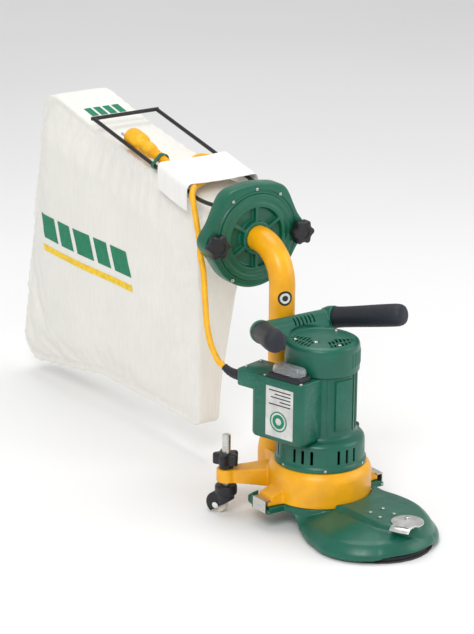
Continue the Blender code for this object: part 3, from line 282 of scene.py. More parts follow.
def loops_solid(name, loops, look=None, ring=False):
    """Skin a row of equal loops of points; a ring joins the last loop to the first."""
    bm = bmesh.new()
    rows = [[bm.verts.new(p) for p in loop] for loop in loops]
    skin(bm, rows + rows[:1] if ring else rows, True)
    if not ring:
        bm.faces.new(reversed(rows[0]))
        bm.faces.new(rows[-1])
    return put(name, bm, look)


def turned(at, along):
    """The place of a piece drawn along +Z, moved to a point and laid along a direction."""
    spin = Vector((0, 0, 1)).rotation_difference(Vector(along))
    return Matrix.Translation(at) @ spin.to_matrix().to_4x4()


def around(centre, degrees, axis="Z"):
    return Matrix.Translation(centre) @ Matrix.Rotation(math.radians(degrees), 4, axis)


def lathe(name, profile, look=None, at=(0, 0, 0), along=(0, 0, 1), sides=ROUND):
    """Turn a closed profile of (radius, distance along the axis) points."""
    place = turned(at, along)
    bm = bmesh.new()
    rows = []
    for radius, height in profile:
        turns = range(sides) if radius > 1e-6 else range(1)
        angles = [2 * math.pi * k / sides for k in turns]
        points = [(radius * math.cos(a), radius * math.sin(a), height) for a in angles]
        rows.append([bm.verts.new(place @ Vector(p)) for p in points])
    for low, high in zip(rows, rows[1:] + rows[:1]):
        for i in range(sides if len(low) + len(high) > 2 else 0):
            j = (i + 1) % sides
            corners = [low[i % len(low)], low[j % len(low)], high[j % len(high)], high[i % len(high)]]
            bm.faces.new(list(dict.fromkeys(corners)))
    return put(name, bm, look)


def rod(name, start, end, radius, look=None, sides=MEDIUM):
    span = Vector(end) - Vector(start)
    return lathe(name, [(0, 0), (radius, 0), (radius, span.length), (0, span.length)], look, start, span,
                 sides)


def block(name, low, high, look=None, place=Matrix()):
    bm = bmesh.new()
    middle = (Vector(low) + Vector(high)) / 2
    size = Vector(high) - Vector(low)
    bmesh.ops.create_cube(bm, size=1, matrix=place @ Matrix.Translation(middle)
                          @ Matrix.Diagonal((*size, 1)))
    return put(name, bm, look)


def wedge(name, start, end):
    return loops_solid(name, [start, end])


def flat_loop(points, height):
    return [(x, y, height) for x, y in points]


def inset(points, distance):
    """Move an anticlockwise outline inwards by a distance, with mitred corners."""
    moved = []
    for before, here, after in zip(points[-1:] + points[:-1], points, points[1:] + points[:1]):
        first = (Vector(here) - Vector(before)).normalized()
        second = (Vector(after) - Vector(here)).normalized()
        one = Vector((-first.y, first.x))
        two = Vector((-second.y, second.x))
        shift = (one + two) * (distance / (1 + one.dot(two)))
        moved.append((here[0] + shift.x, here[1] + shift.y))
    return moved


def rounded(corners, steps=8):
    """An outline from (x, y, fillet radius) corners."""
    points = []
    for before, here, after in zip(corners[-1:] + corners[:-1], corners, corners[1:] + corners[:1]):
        tip = Vector(here[:2])
        back = (Vector(before[:2]) - tip).normalized()
        on = (Vector(after[:2]) - tip).normalized()
        if here[2] == 0:
            points.append(tuple(tip))
            continue
        half = back.angle(on) / 2
        reach = here[2] / math.tan(half)
        centre = tip + (back + on).normalized() * (here[2] / math.sin(half))
        first = tip + back * reach - centre
        turn = first.angle_signed(tip + on * reach - centre)
        for k in range(steps + 1):
            arm = first.copy()
            arm.rotate(Matrix.Rotation(-turn * k / steps, 2))
            points.append(tuple(centre + arm))
    return points


def smooth_path(points, per_span, closed=False):
    """Read points from a Catmull-Rom curve through the given ones."""
    knots = [Vector(p) for p in points]
    path = []
    for i in range(len(knots) if closed else len(knots) - 1):
        if closed:
            a, b, c, d = (knots[(i + k) % len(knots)] for k in (-1, 0, 1, 2))
        else:
            b, c = knots[i], knots[i + 1]
            a = knots[i - 1] if i else b * 2 - c
            d = knots[i + 2] if i + 2 < len(knots) else c * 2 - b
        for k in range(per_span):
            t = k / per_span
            bend = (2 * a - 5 * b + 4 * c - d) * t**2 + (3 * b - a - 3 * c + d) * t**3
            path.append((2 * b + (c - a) * t + bend) / 2)
    return path if closed else path + [knots[-1]]


def swept_rings(path, radii, sides):
    """Round sections along a path, turned as little as possible from one to the next."""
    path = [Vector(p) for p in path]
    rings = []
    side = None
    for i, here in enumerate(path):
        ahead = path[min(i + 1, len(path) - 1)] - here
        behind = here - path[max(i - 1, 0)]
        along = (ahead.normalized() + behind.normalized()).normalized()
        side = (side or along.orthogonal()) - along * (side or along.orthogonal()).dot(along)
        side.normalize()
        up = along.cross(side)
        turns = [2 * math.pi * k / sides for k in range(sides)]
        rings.append([here + (side * math.cos(a) + up * math.sin(a)) * radii[i] for a in turns])
    return rings


def tube(name, path, radius, look, sides=16):
    return loops_solid(name, swept_rings(path, [radius] * len(path), sides), look)


def apply_modifiers(made):
    bpy.context.view_layer.update()
    shape = made.evaluated_get(bpy.context.evaluated_depsgraph_get())
    result = bpy.data.meshes.new_from_object(shape)
    made.modifiers.clear()
    look = made.data.materials[0] if made.data.materials else None
    made.data = result
    result.materials.clear()
    result.polygons.foreach_set("material_index", [0] * len(result.polygons))
    if look:
        result.materials.append(look)
    return made


def points_of(made):
    return np.array([v.co for v in made.data.vertices])


def normals_of(made):
    return np.array([v.normal for v in made.data.vertices])


def move_points(made, points):
    made.data.vertices.foreach_set("co", points.astype(np.float32).ravel())
    made.data.update()


def bake(target, operation, tools):
    for tool in tools:
        step = target.modifiers.new(operation, "BOOLEAN")
        step.operation = operation
        step.solver = "MANIFOLD"
        step.object = tool
    apply_modifiers(target)
    for tool in tools:
        bpy.data.objects.remove(tool)
    return target


def cut(target, *tools):
    return bake(target, "DIFFERENCE", tools)


def fuse(target, *tools):
    return bake(target, "UNION", tools)


def many(name, pieces, look=None):
    """Several separate solids as one object."""
    bm = bmesh.new()
    for piece in pieces:
        bm.from_mesh(piece.data)
        bpy.data.objects.remove(piece)
    return put(name, bm, look)


def bevel(made, width, segments=2, angle=35):
    step = made.modifiers.new("bevel", "BEVEL")
    step.width = width
    step.segments = segments
    step.limit_method = "ANGLE"
    step.angle_limit = math.radians(angle)
    step.harden_normals = False
    return apply_modifiers(made)


def as_cast(made, voxel, rounds, keep=0.4):
    """Give a sharp solid the soft edges and fillets of a sand casting."""
    step = made.modifiers.new("remesh", "REMESH")
    step.mode = "VOXEL"
    step.voxel_size = voxel
    soft = made.modifiers.new("smooth", "SMOOTH")
    soft.factor = 0.5
    soft.iterations = rounds
    fewer = made.modifiers.new("fewer", "DECIMATE")
    fewer.ratio = keep
    return apply_modifiers(made)


def finish(made, body, nodes=(), angle=35):
    """Move a piece into the row's frame, shade it, and let it ride and stand for its CAD nodes."""
    made.data.transform(Matrix.Translation(-HEAD))
    made.data.shade_smooth()
    if angle:
        made.data.set_sharp_from_angle(angle=math.radians(angle))
    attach(made, body)
    if nodes:
        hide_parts(*nodes)
    return made


def smoothstep(low, high, value):
    t = min(1, max(0, (value - low) / (high - low)))
    return t * t * (3 - 2 * t)


# ---------------------------------------------------------------- base
BASE_BOTTOM = 0.041
BASE_TOP = 0.0985


def base_side(s):
    along = Vector((0.911 * s, 0.413, 0))
    across = Vector((-0.413 * s, 0.911, 0))
    root = Vector((0.056 * s, 0.2202, 0))
    tip = Vector((CASTER_X * s, CASTER_Y, 0)) - along * 0.002
    ends = []
    for centre, half, low, high in ((root, 0.022, 0.0495, 0.082), (tip, 0.0125, 0.0568, 0.0782)):
        corners = [(-half, low), (half, low), (half, high), (-half, high)]
        ends.append([centre + across * a + Vector((0, 0, z)) for a, z in corners])
    arm = wedge("arm", *ends)
    boss = rod("boss", (CASTER_X * s, CASTER_Y, 0.056), (CASTER_X * s, CASTER_Y, 0.079), 0.016)
    low, high = 0.150, 0.184
    lug = wedge("lug", [(s * 0.074, low - 0.004, BASE_BOTTOM), (s * 0.074, high + 0.004, BASE_BOTTOM),
                        (s * 0.074, high, 0.068), (s * 0.074, low, 0.068)],
                [(s * 0.1045, low, BASE_BOTTOM), (s * 0.1045, high, BASE_BOTTOM),
                 (s * 0.1045, high, 0.056), (s * 0.1045, low, 0.056)])
    step = block("step", (min(s * 0.100, s * 0.1115), low, BASE_BOTTOM),
                 (max(s * 0.100, s * 0.1115), high, 0.0500))
    return [arm, boss, lug, step]


def make_base():
    profile = [(0.028, BASE_BOTTOM), (0.0832, BASE_BOTTOM), (0.0840, 0.0420), (0.0840, 0.0835),
               (0.0833, 0.0875), (0.0817, 0.0912), (0.0795, 0.0945), (0.0770, 0.0970), (0.0762, BASE_TOP),
               (0.0660, BASE_TOP), (0.0660, 0.0935), (0.0770, 0.0905), (0.0770, 0.0465), (0.0280, 0.0465)]
    base = lathe("base_casting", profile, YELLOW, MOTOR)
    neck = wedge("neck", [(-0.040, 0.236, 0.045), (0.040, 0.236, 0.045), (0.040, 0.236, 0.092),
                          (-0.040, 0.236, 0.092)], [(-0.034, PIPE_Y, 0.047), (0.034, PIPE_Y, 0.047),
                                                    (0.034, PIPE_Y, 0.090), (-0.034, PIPE_Y, 0.090)])
    socket = lathe("socket", [(0, 0.047), (0.034, 0.047), (0.036, 0.051), (0.036, 0.080), (0.0345, 0.092),
                              (0.0310, 0.108), (0.0285, 0.125), (0.0268, 0.140), (0.0262, 0.146),
                              (0, 0.146)], None, (0, PIPE_Y, 0), sides=MEDIUM)
    parts = [neck, socket]
    for _, s in SIDES:
        parts += base_side(s)
    for part in parts:
        fuse(base, part)
    cutters = [rod("bore", (0, PIPE_Y, 0.070), (0, PIPE_Y, 0.150), 0.0222),
               rod("step", (0, PIPE_Y, 0.054), (0, PIPE_Y, 0.072), 0.019)]
    for _, s in SIDES:
        boss = (s * CASTER_X, CASTER_Y)
        cutters.append(rod("hole", (*boss, 0.05), (*boss, 0.09), 0.0073, sides=SMALL))
    cut(base, *cutters)
    as_cast(base, 0.0013, 7)
    finish(base, "frame", ["base_frame"], None)


# ---------------------------------------------------------------- sanding arm
def skirt_radius(turn):
    return 0.0905 + 0.0175 * smoothstep(15, 100, abs(turn))


def arm_outline(rear=0.132):
    front = []
    for k in range(-34, 35):
        turn = k * 3.0
        reach = skirt_radius(turn)
        angle = math.radians(turn)
        front.append((HEAD.x + reach * math.sin(angle), HEAD.y - reach * math.cos(angle)))
    right = [front[-1], (0.1065, 0.064), (0.0955, 0.087), (0.0840, 0.109), (0.0790, rear)]
    left = [(-0.0790, rear), (-0.0800, 0.109), (-0.0865, 0.087), (-0.0935, 0.064), front[0]]
    right = [p.to_2d() for p in smooth_path([(x, y, 0) for x, y in right], 5)[1:]]
    left = [p.to_2d() for p in smooth_path([(x, y, 0) for x, y in left], 5)[:-1]]
    return front + [tuple(p) for p in right + left]


def skirt_bottom(point):
    turn = math.degrees(math.atan2(point[0] - HEAD.x, HEAD.y - point[1]))
    front = smoothstep(-40, -31, turn) * (1 - smoothstep(38, 47, turn))
    return 0.004 + 0.0075 * front + 0.0255 * smoothstep(0.100, 0.130, point[1])


SCREWS = [(HEAD.x + 0.004 + x, HEAD.y - 0.006 + y)
          for x, y in ((-0.0135, -0.0125), (0.0135, -0.0135), (0.0125, 0.0135), (-0.0135, 0.0125))]
DOME = ((0.000, 0.00), (0.0015, 0.13), (0.004, 0.25), (0.008, 0.40), (0.013, 0.54), (0.020, 0.635),
        (0.030, 0.73), (0.040, 0.82), (0.050, 0.90), (0.058, 0.955), (0.066, 1.00))


def arm_shell(thinner):
    loops = []
    for depth, rise in DOME:
        points = inset(arm_outline(0.132 + depth), depth + thinner)
        bottoms = [max(0.0100, skirt_bottom(p) + 0.001) for p in arm_outline()]
        loops.append([(x, y, b + (0.0435 - b) * rise - thinner) for (x, y), b in zip(points, bottoms)])
    return loops


DECK = [(-0.028, 0.080, -0.033, 0.080), (-0.028, 0.040, -0.034, 0.040), (-0.028, 0.005, -0.035, 0.004),
        (-0.026, -0.022, -0.033, -0.024), (-0.015, -0.042, -0.022, -0.046), (0.004, -0.060, -0.002, -0.066),
        (0.024, -0.066, 0.026, -0.080), (0.046, -0.055, 0.060, -0.067), (0.064, -0.032, 0.085, -0.044),
        (0.075, 0.000, 0.099, -0.004), (0.075, 0.036, 0.097, 0.034), (0.067, 0.072, 0.084, 0.072),
        (0.058, 0.100, 0.074, 0.100)]


def deck_shell(thinner, low):
    top_knots = [HEAD + Vector((x, y, 0)) for x, y, _, _ in DECK]
    foot_knots = [HEAD + Vector((x, y, 0)) for _, _, x, y in DECK]
    tops = inset([p.to_2d() for p in smooth_path(top_knots, 8, closed=True)], thinner)
    feet = inset([p.to_2d() for p in smooth_path(foot_knots, 8, closed=True)], thinner)
    rise = ((0, low), (0.05, 0.018), (0.16, 0.0255), (0.3, 0.0325), (0.45, 0.0385), (0.6, 0.0430),
            (0.74, 0.0462), (0.87, 0.0486), (0.96, 0.0497), (1, 0.0500))
    return [[(f[0] + (t[0] - f[0]) * u, f[1] + (t[1] - f[1]) * u, z - thinner) for f, t in zip(feet, tops)]
            for u, z in rise]


def arm_ear(s):
    ear = block("ear", (min(s * 0.078, s * 0.1118), 0.1435, 0.0302),
                (max(s * 0.078, s * 0.1118), 0.2040, 0.0406))
    fin = wedge("fin", [(s * 0.104, 0.1862, 0.034), (s * 0.117, 0.1862, 0.034), (s * 0.117, 0.1862, 0.056),
                        (s * 0.104, 0.1862, 0.058)],
                [(s * 0.104, 0.2034, 0.034), (s * 0.114, 0.2034, 0.034), (s * 0.114, 0.2034, 0.045),
                 (s * 0.104, 0.2034, 0.047)])
    pieces = [ear, fin]
    for low, high in ((0.1425, 0.1467), (0.1823, 0.1864)):
        knuckle = block("knuckle", (min(s * 0.110, s * 0.118), low, 0.0308),
                        (max(s * 0.110, s * 0.118), high, 0.0382))
        hole = rod("hole", (s * 0.115, low - 0.01, 0.0345), (s * 0.115, high + 0.01, 0.0345), 0.0019,
                   sides=12)
        pieces.append(cut(knuckle, hole))
    return pieces


def make_arm():
    arm = loops_solid("arm_casting", [[(x, y, skirt_bottom((x, y))) for x, y in arm_outline()]]
                      + arm_shell(0), GREEN)
    fuse(arm, loops_solid("deck", deck_shell(0, 0.012)))
    under = [flat_loop(inset(arm_outline(), 0.003), z) for z in (-0.001, 0.0065)]
    cut(arm, loops_solid("room", under + arm_shell(0.003)[2::2]))
    cut(arm, loops_solid("deck_room", deck_shell(0.0032, -0.001)[::3]))
    seat = lathe("seat", [(0, 0.0365), (0.0818, 0.0365), (0.0818, 0.0295), (0.0848, 0.0295),
                          (0.0848, 0.0450), (0, 0.0450)], None, MOTOR)
    fuse(arm, seat)
    for _, s in SIDES:
        for piece in arm_ear(s):
            fuse(arm, piece)
    cut(arm, rod("above", (0, MOTOR_Y, 0.0407), (0, MOTOR_Y, 0.070), 0.0850, sides=ROUND))
    for point in SCREWS:
        fuse(arm, rod("pad", (*point, 0.0485), (*point, 0.0507), 0.0050, sides=SMALL))
    as_cast(arm, 0.0014, 6)
    finish(arm, "frame", ["arm_housing"], None)
    screws = []
    for k, point in enumerate(SCREWS):
        screws.append(screw_head((*point, 0.0508), (0, 0, 1), 0.0030, 0.5 + k))
    finish(many("deck_screws", screws, STEEL), "frame")




def screw_head(at, along, radius, turn, look=None):
    """A pan head with a cross slot."""
    shape = [(0, 0), (radius, 0), (radius * 1.02, radius * 0.25), (radius * 0.86, radius * 0.55),
             (radius * 0.5, radius * 0.72), (0, radius * 0.76)]
    head = lathe("screw", shape, look, at, along, 24)
    place = turned(at, along) @ Matrix.Rotation(turn, 4, "Z")
    for quarter in (0, math.pi / 2):
        spin = place @ Matrix.Rotation(quarter, 4, "Z")
        slot = block("slot", (-radius * 0.62, -radius * 0.14, radius * 0.38),
                     (radius * 0.62, radius * 0.14, radius), None, spin)
        cut(head, slot)
    return head


def make_turn_plate():
    radius = 0.0260
    centre = (HEAD.x + 0.0150, HEAD.y - 0.0575)
    pivot = (HEAD.x + 0.0235, HEAD.y - 0.0470)
    low, high = 0.0503, 0.0519
    plate = rod("turn_plate_steel", (*centre, low), (*centre, high), radius, PLATED, sides=ROUND)
    outward = Vector((-0.873, -0.487, 0))
    across = Vector((-outward.y, outward.x, 0))
    start = Vector((*centre, 0)) + outward * 0.0170
    folds = []
    for reach, drop in ((0, 0), (0.0115, 0.0006), (0.0148, 0.0022), (0.0180, 0.0052)):
        spot = start + outward * reach
        corners = [(-0.0165, low), (0.0165, low), (0.0165, high), (-0.0165, high)]
        folds.append([spot + across * a + Vector((0, 0, z - drop)) for a, z in corners])
    fuse(plate, loops_solid("tab", folds))
    slot_at = start + outward * 0.0095
    turn = Matrix.Translation(slot_at) @ Matrix.Rotation(math.atan2(across.y, across.x), 4, "Z")
    slot = block("slot", (-0.0110, -0.0014, 0.043), (0.0110, 0.0014, 0.060), None, turn)
    angle = math.radians(-98)
    notch_at = (centre[0] + radius * math.cos(angle), centre[1] + radius * math.sin(angle))
    notch = rod("notch", (*notch_at, 0.045), (*notch_at, 0.060), 0.0032, sides=SMALL)
    cut(plate, slot, notch)
    bevel(plate, 0.0003, 2)
    finish(plate, "turn_plate", ["turn_plate"])
    finish(many("turn_plate_screw", [screw_head((*pivot, high), (0, 0, 1), 0.0040, 0.3)], STEEL), "frame")


# ---------------------------------------------------------------- motor
def make_housing():
    profile = [(0.0133, 0.0990), (0.0742, 0.0990), (0.0747, 0.0995), (0.0747, 0.1048), (0.0742, 0.1057),
               (0.0730, 0.1068), (0.0722, 0.1085), (0.0718, 0.1110), (0.0716, 0.1370), (0.0706, 0.1412),
               (0.0680, 0.1445), (0.0640, 0.1466), (0.0605, 0.1482), (0.0585, 0.1500), (0.0570, 0.1525),
               (0.0562, 0.1560), (0.0560, 0.1620), (0.0560, 0.2550), (0.0530, 0.2550), (0.0530, 0.1550),
               (0.0560, 0.1500), (0.0640, 0.1430), (0.0680, 0.1360), (0.0685, 0.1040), (0.0180, 0.1040),
               (0.0180, 0.1085), (0.0133, 0.1085)]
    housing = lathe("motor_casting", profile, GREEN, MOTOR)
    # low vertical ribs round the front of the body, and the terminal pad
    ribs = []
    for angle in (-128, -116, -62, -50, -38, -26, -14, 8, 20, 32):
        turn = around(MOTOR, angle)
        ribs.append(block("rib", (0.0545, -0.0011, 0.1575), (0.0574, 0.0011, 0.2535), None, turn))
    turn = around(MOTOR, -88)
    ribs.append(block("panel", (0.0500, -0.0165, 0.1650), (0.0582, 0.0165, 0.2480), None, turn))
    for rib in ribs:
        fuse(housing, rib)
    slots = []
    for group in range(6):
        for step in (-1, 0, 1):
            turn = around(MOTOR, 30 + 60 * group + 12.2 * step)
            slots.append(block("slot", (0.064, -0.0024, 0.1120), (0.078, 0.0024, 0.1350), None, turn))
    cut(housing, many("slots", slots))
    bevel(housing, 0.0006, 2, 40)
    finish(housing, "frame", ["motor_housing"])
    screws = []
    for k in range(6):
        angle = math.radians(60 * k)
        at = MOTOR + Vector((0.0738 * math.cos(angle), 0.0738 * math.sin(angle), 0.1030))
        outward = Vector((math.cos(angle), math.sin(angle), 0))
        screws.append(screw_head(at, outward, 0.0026, 0.4 * k))
    finish(many("housing_screws", screws, STEEL), "frame")


GRIP_START = Vector((0.0680, 0.2365, 0.3065))
GRIP_END = Vector((0.1280, 0.1120, 0.3345))


def grille_slots():
    slots = []
    for heading, side in ((244, 1), (210, -1)):
        turn = around(MOTOR, heading)
        for k in range(7):
            across = side * (0.0065 + 0.0065 * k)
            end = math.sqrt(0.0495**2 - across**2)
            start = max(0.004, math.sqrt(max(0, 0.0185**2 - across**2)))
            middle = (start + end) / 2
            for low, high in ((start, middle - 0.001), (middle + 0.0015, end)):
                slots.append(block("slot", (low, across - 0.0017, 0.2900),
                                   (high, across + 0.0017, 0.3200), None, turn))
    for k in range(6):
        x = -0.010 + 0.0075 * k
        slots.append(block("slot", (x - 0.0014, 0.2200, 0.3060), (x + 0.0014, 0.2325, 0.3300)))
    return slots


def make_cap():
    profile = [(0.0602, 0.2553), (0.0606, 0.2557), (0.0606, 0.2940), (0.0603, 0.2975), (0.0592, 0.3005),
               (0.0575, 0.3024), (0.0552, 0.3035), (0.0530, 0.3038), (0, 0.3038), (0, 0.2795),
               (0.0113, 0.2795), (0.0113, 0.2685), (0.0155, 0.2685), (0.0155, 0.2990), (0.0540, 0.2990),
               (0.0573, 0.2960), (0.0573, 0.2553)]
    cap = lathe("motor_cover", profile, GREEN, MOTOR)
    bridge = wedge("bridge", [(-0.050, 0.2080, 0.2780), (0.050, 0.2080, 0.2780), (0.050, 0.2080, 0.3030),
                              (-0.050, 0.2080, 0.3030)],
                   [(-0.060, 0.2365, 0.2905), (0.060, 0.2365, 0.2905), (0.060, 0.2365, 0.3218),
                    (-0.060, 0.2365, 0.3218)])
    bar = rod("bar", (-0.0600, 0.2365, 0.3062), (0.0600, 0.2365, 0.3062), 0.0160)
    cut(bridge, rod("inside", (0, MOTOR_Y, 0.25), (0, MOTOR_Y, 0.33), 0.0580, sides=ROUND))
    collars = []
    for _, s in SIDES:
        start = Vector((s * GRIP_START.x, GRIP_START.y, GRIP_START.z))
        along = (Vector((s * GRIP_END.x, GRIP_END.y, GRIP_END.z)) - start).normalized()
        collars.append(lathe("collar", [(0, -0.016), (0.011, -0.0155), (0.0165, -0.010), (0.0192, 0.000),
                                        (0.0192, 0.012), (0, 0.012)], None, start, along, MEDIUM))
    # a low raised ring on top, and short ribs on the right of the wall
    ring = lathe("ring", [(0.0505, 0.3030), (0.0535, 0.3030), (0.0530, 0.3050), (0.0510, 0.3050)], None,
                 MOTOR)
    ribs = []
    for k in range(6):
        turn = around(MOTOR, -72 + 8 * k)
        ribs.append(block("rib", (0.0590, -0.0016, 0.2660), (0.0618, 0.0016, 0.2890), None, turn))
    for part in (bridge, bar, *collars, ring, many("ribs", ribs)):
        fuse(cap, part)
    cut(cap, many("grille", grille_slots()))
    recess = rod("recess", (-0.0200, MOTOR_Y - 0.0080, 0.3022), (-0.0200, MOTOR_Y - 0.0080, 0.3100),
                 0.0062, sides=SMALL)
    cut(cap, recess)
    as_cast(cap, 0.0009, 4, 0.35)
    finish(cap, "frame", ["motor_cap"], None)
    screws = [screw_head((-0.0200, MOTOR_Y - 0.0080, 0.3022), (0, 0, 1), 0.0040, 0.2)]
    for angle in (25, 155, 270):
        spot = MOTOR + Vector((0.0452 * math.cos(math.radians(angle)),
                               0.0452 * math.sin(math.radians(angle)), 0.3038))
        screws.append(screw_head(spot, (0, 0, 1), 0.0032, angle))
    finish(many("cover_screws", screws, STEEL), "frame")


def make_grips():
    for side, s in SIDES:
        start = Vector((s * GRIP_START.x, GRIP_START.y, GRIP_START.z))
        end = Vector((s * GRIP_END.x, GRIP_END.y, GRIP_END.z))
        length = (end - start).length
        shape = [(0, 0.0123), (0.0160, 0.0123), (0.0174, 0.0132), (0.0178, 0.0150), (0.0174, 0.0200),
                 (0.0172, 0.0300), (0.0174, 0.0480), (0.0179, 0.0700), (0.0185, 0.0950), (0.0187, 0.1100),
                 (0.0187, length - 0.017), (0.0183, length - 0.0115), (0.0171, length - 0.0065),
                 (0.0150, length - 0.0030), (0.0118, length - 0.0010), (0.0070, length), (0, length)]
        grip = lathe("grip_sleeve_" + side, shape, RUBBER, start, end - start, MEDIUM)
        finish(grip, "frame", ["grip_" + side])


# ---------------------------------------------------------------- switch box
def box_place():
    return Matrix.Translation(MOTOR) @ Matrix.Rotation(BOX_TURN, 4, "Z")


def in_box(loops):
    place = box_place()
    return [[place @ Vector(p) for p in loop] for loop in loops]


def make_switch_box():
    shell = rounded([(-0.035, 0.040, 0), (0.070, 0.040, 0), (0.070, 0.097, 0.012), (-0.035, 0.097, 0.012)])
    steps = ((0.0090, 0.1480), (0.0060, 0.1484), (0.0035, 0.1494), (0.0017, 0.1510), (0.0006, 0.1530),
             (0.0, 0.1555), (0.0, 0.2510))
    box = loops_solid("switch_box_casting", in_box([flat_loop(inset(shell, d), z) for d, z in steps]),
                      GREEN)
    entry = rounded([(0.060, 0.050, 0), (0.099, 0.050, 0), (0.099, 0.097, 0.006), (0.060, 0.097, 0)])
    levels = ((0.004, 0.2262), (0.001, 0.2275), (0.0, 0.2295), (0.0, 0.2510))
    fuse(box, loops_solid("entry", in_box([flat_loop(inset(entry, d), z) for d, z in levels])))
    place = box_place()
    motor_side = rod("motor_side", (0, MOTOR_Y, 0.14), (0, MOTOR_Y, 0.26), 0.0563, sides=ROUND)
    shoulder = rod("shoulder", (0, MOTOR_Y, 0.14), (0, MOTOR_Y, 0.1565), 0.0645, sides=ROUND)
    room = block("room", (-0.0300, 0.0590, 0.1510), (0.0650, 0.0920, 0.2530), None, place)
    cut(box, motor_side, shoulder, room)
    bevel(box, 0.0007, 2)
    finish(box, "frame", ["switch_box"])

    outline = rounded([(-0.035, 0.034, 0), (0.099, 0.034, 0), (0.099, 0.097, 0.006),
                       (-0.035, 0.097, 0.012)])
    levels = ((0.0, 0.2513), (0.0, 0.2536), (0.0004, 0.2543), (0.0010, 0.2547))
    lid = loops_solid("switch_lid_casting", in_box([flat_loop(inset(outline, d), z) for d, z in levels]),
                      GREEN)
    hole = rod("hole", (0, MOTOR_Y, 0.24), (0, MOTOR_Y, 0.26), 0.0563, sides=ROUND)
    window = block("window", (-0.0180, 0.0680, 0.24), (0.0260, 0.0890, 0.26), None, place)
    cut(lid, hole, window)
    finish(lid, "frame", ["switch_lid"])
    screws = []
    for k, (n, u) in enumerate(((0.0790, 0.0930), (0.0420, 0.0930), (0.0905, 0.0440), (0.0905, -0.0290))):
        screws.append(screw_head(place @ Vector((u, n, 0.2547)), (0, 0, 1), 0.0030, k))
    finish(many("lid_screws", screws, STEEL), "frame")

    # labels: foil plate with plain bars and a ring, and a yellow plate round the rear corner
    plate = block("foil_label", (-0.0195, 0.0970, 0.1580), (0.0364, 0.0974, 0.2420), FOIL, place)
    finish(bevel(plate, 0.0001, 1), "frame")
    ring = []
    centre = place @ Vector((0.0100, 0.0975, 0.1850))
    outward = place.to_3x3() @ Vector((0, 1, 0))
    for inner, outer in ((0.0150, 0.0172), (0.0060, 0.0118)):
        ring.append(lathe("ring", [(inner, 0), (outer, 0), (outer, 0.0002), (inner, 0.0002)], None,
                          centre, outward, MEDIUM))
    finish(many("label_rings", ring, INK_GREEN), "frame")
    bars = []
    for k, (start, end) in enumerate(((-0.014, 0.030), (-0.014, 0.018), (-0.014, 0.026), (-0.014, 0.008),
                                      (-0.014, 0.030))):
        z = 0.2360 - 0.0058 * k
        bars.append(block("bar", (start, 0.0974, z - 0.0009), (end, 0.0977, z + 0.0009), None, place))
    finish(many("label_bars", bars, DARK_INK), "frame")
    side_plate = block("yellow_label", (0.0700, 0.0560, 0.1600), (0.0704, 0.0840, 0.2190), LABEL, place)
    finish(bevel(side_plate, 0.0001, 1), "frame")


def make_switch():
    outer = rounded([(-0.028, 0.0622, 0.003), (0.036, 0.0622, 0.003), (0.036, 0.0945, 0.003),
                     (-0.028, 0.0945, 0.003)], 4)
    inner = rounded([(-0.0200, 0.0675, 0.002), (0.0280, 0.0675, 0.002), (0.0280, 0.0892, 0.002),
                     (-0.0200, 0.0892, 0.002)], 4)
    steps = [(inner, 0, 0.2550), (outer, 0, 0.2550), (outer, 0, 0.2622), (outer, 0.0006, 0.2632),
             (outer, 0.0015, 0.2636), (inner, 0, 0.2636)]
    bezel = loops_solid("switch_bezel", in_box([flat_loop(inset(o, d), z) for o, d, z in steps]), PLASTIC,
                        ring=True)
    finish(bezel, "frame", ["switch_frame"])
    dome = rounded([(-0.0250, 0.0650, 0.010), (0.0330, 0.0650, 0.010), (0.0330, 0.0917, 0.010),
                    (-0.0250, 0.0917, 0.010)], 6)
    shell = ((0.0085, 0.2750), (0.0060, 0.2746), (0.0035, 0.2730), (0.0018, 0.2700), (0.0012, 0.2640),
             (0, 0.2640), (0.0002, 0.2700), (0.0014, 0.2735), (0.0036, 0.2756), (0.0062, 0.2765),
             (0.0085, 0.2766))
    cover = loops_solid("clear_boot", in_box([flat_loop(inset(dome, d), z) for d, z in shell]), CLEAR)
    finish(cover, "frame", ["switch_cover"])


# ---------------------------------------------------------------- cord
def gland_path():
    start = box_place() @ Vector((0.0993, 0.0830, 0.2385))
    out = box_place().to_3x3() @ Vector((1, 0, 0))
    path = [start]
    for lift in (0, 0, 8, 18, 28):
        tilt = math.radians(lift)
        path.append(path[-1] + (out * math.cos(tilt) + Vector((0, 0, math.sin(tilt)))) * 0.0075)
    return path, (path[-1] - path[-2]).normalized()


PLUG_AXIS = Vector((0.060, 0.985, 0.150)).normalized()
PLUG_START = Vector((-0.0500, 0.5420, 0.5170))


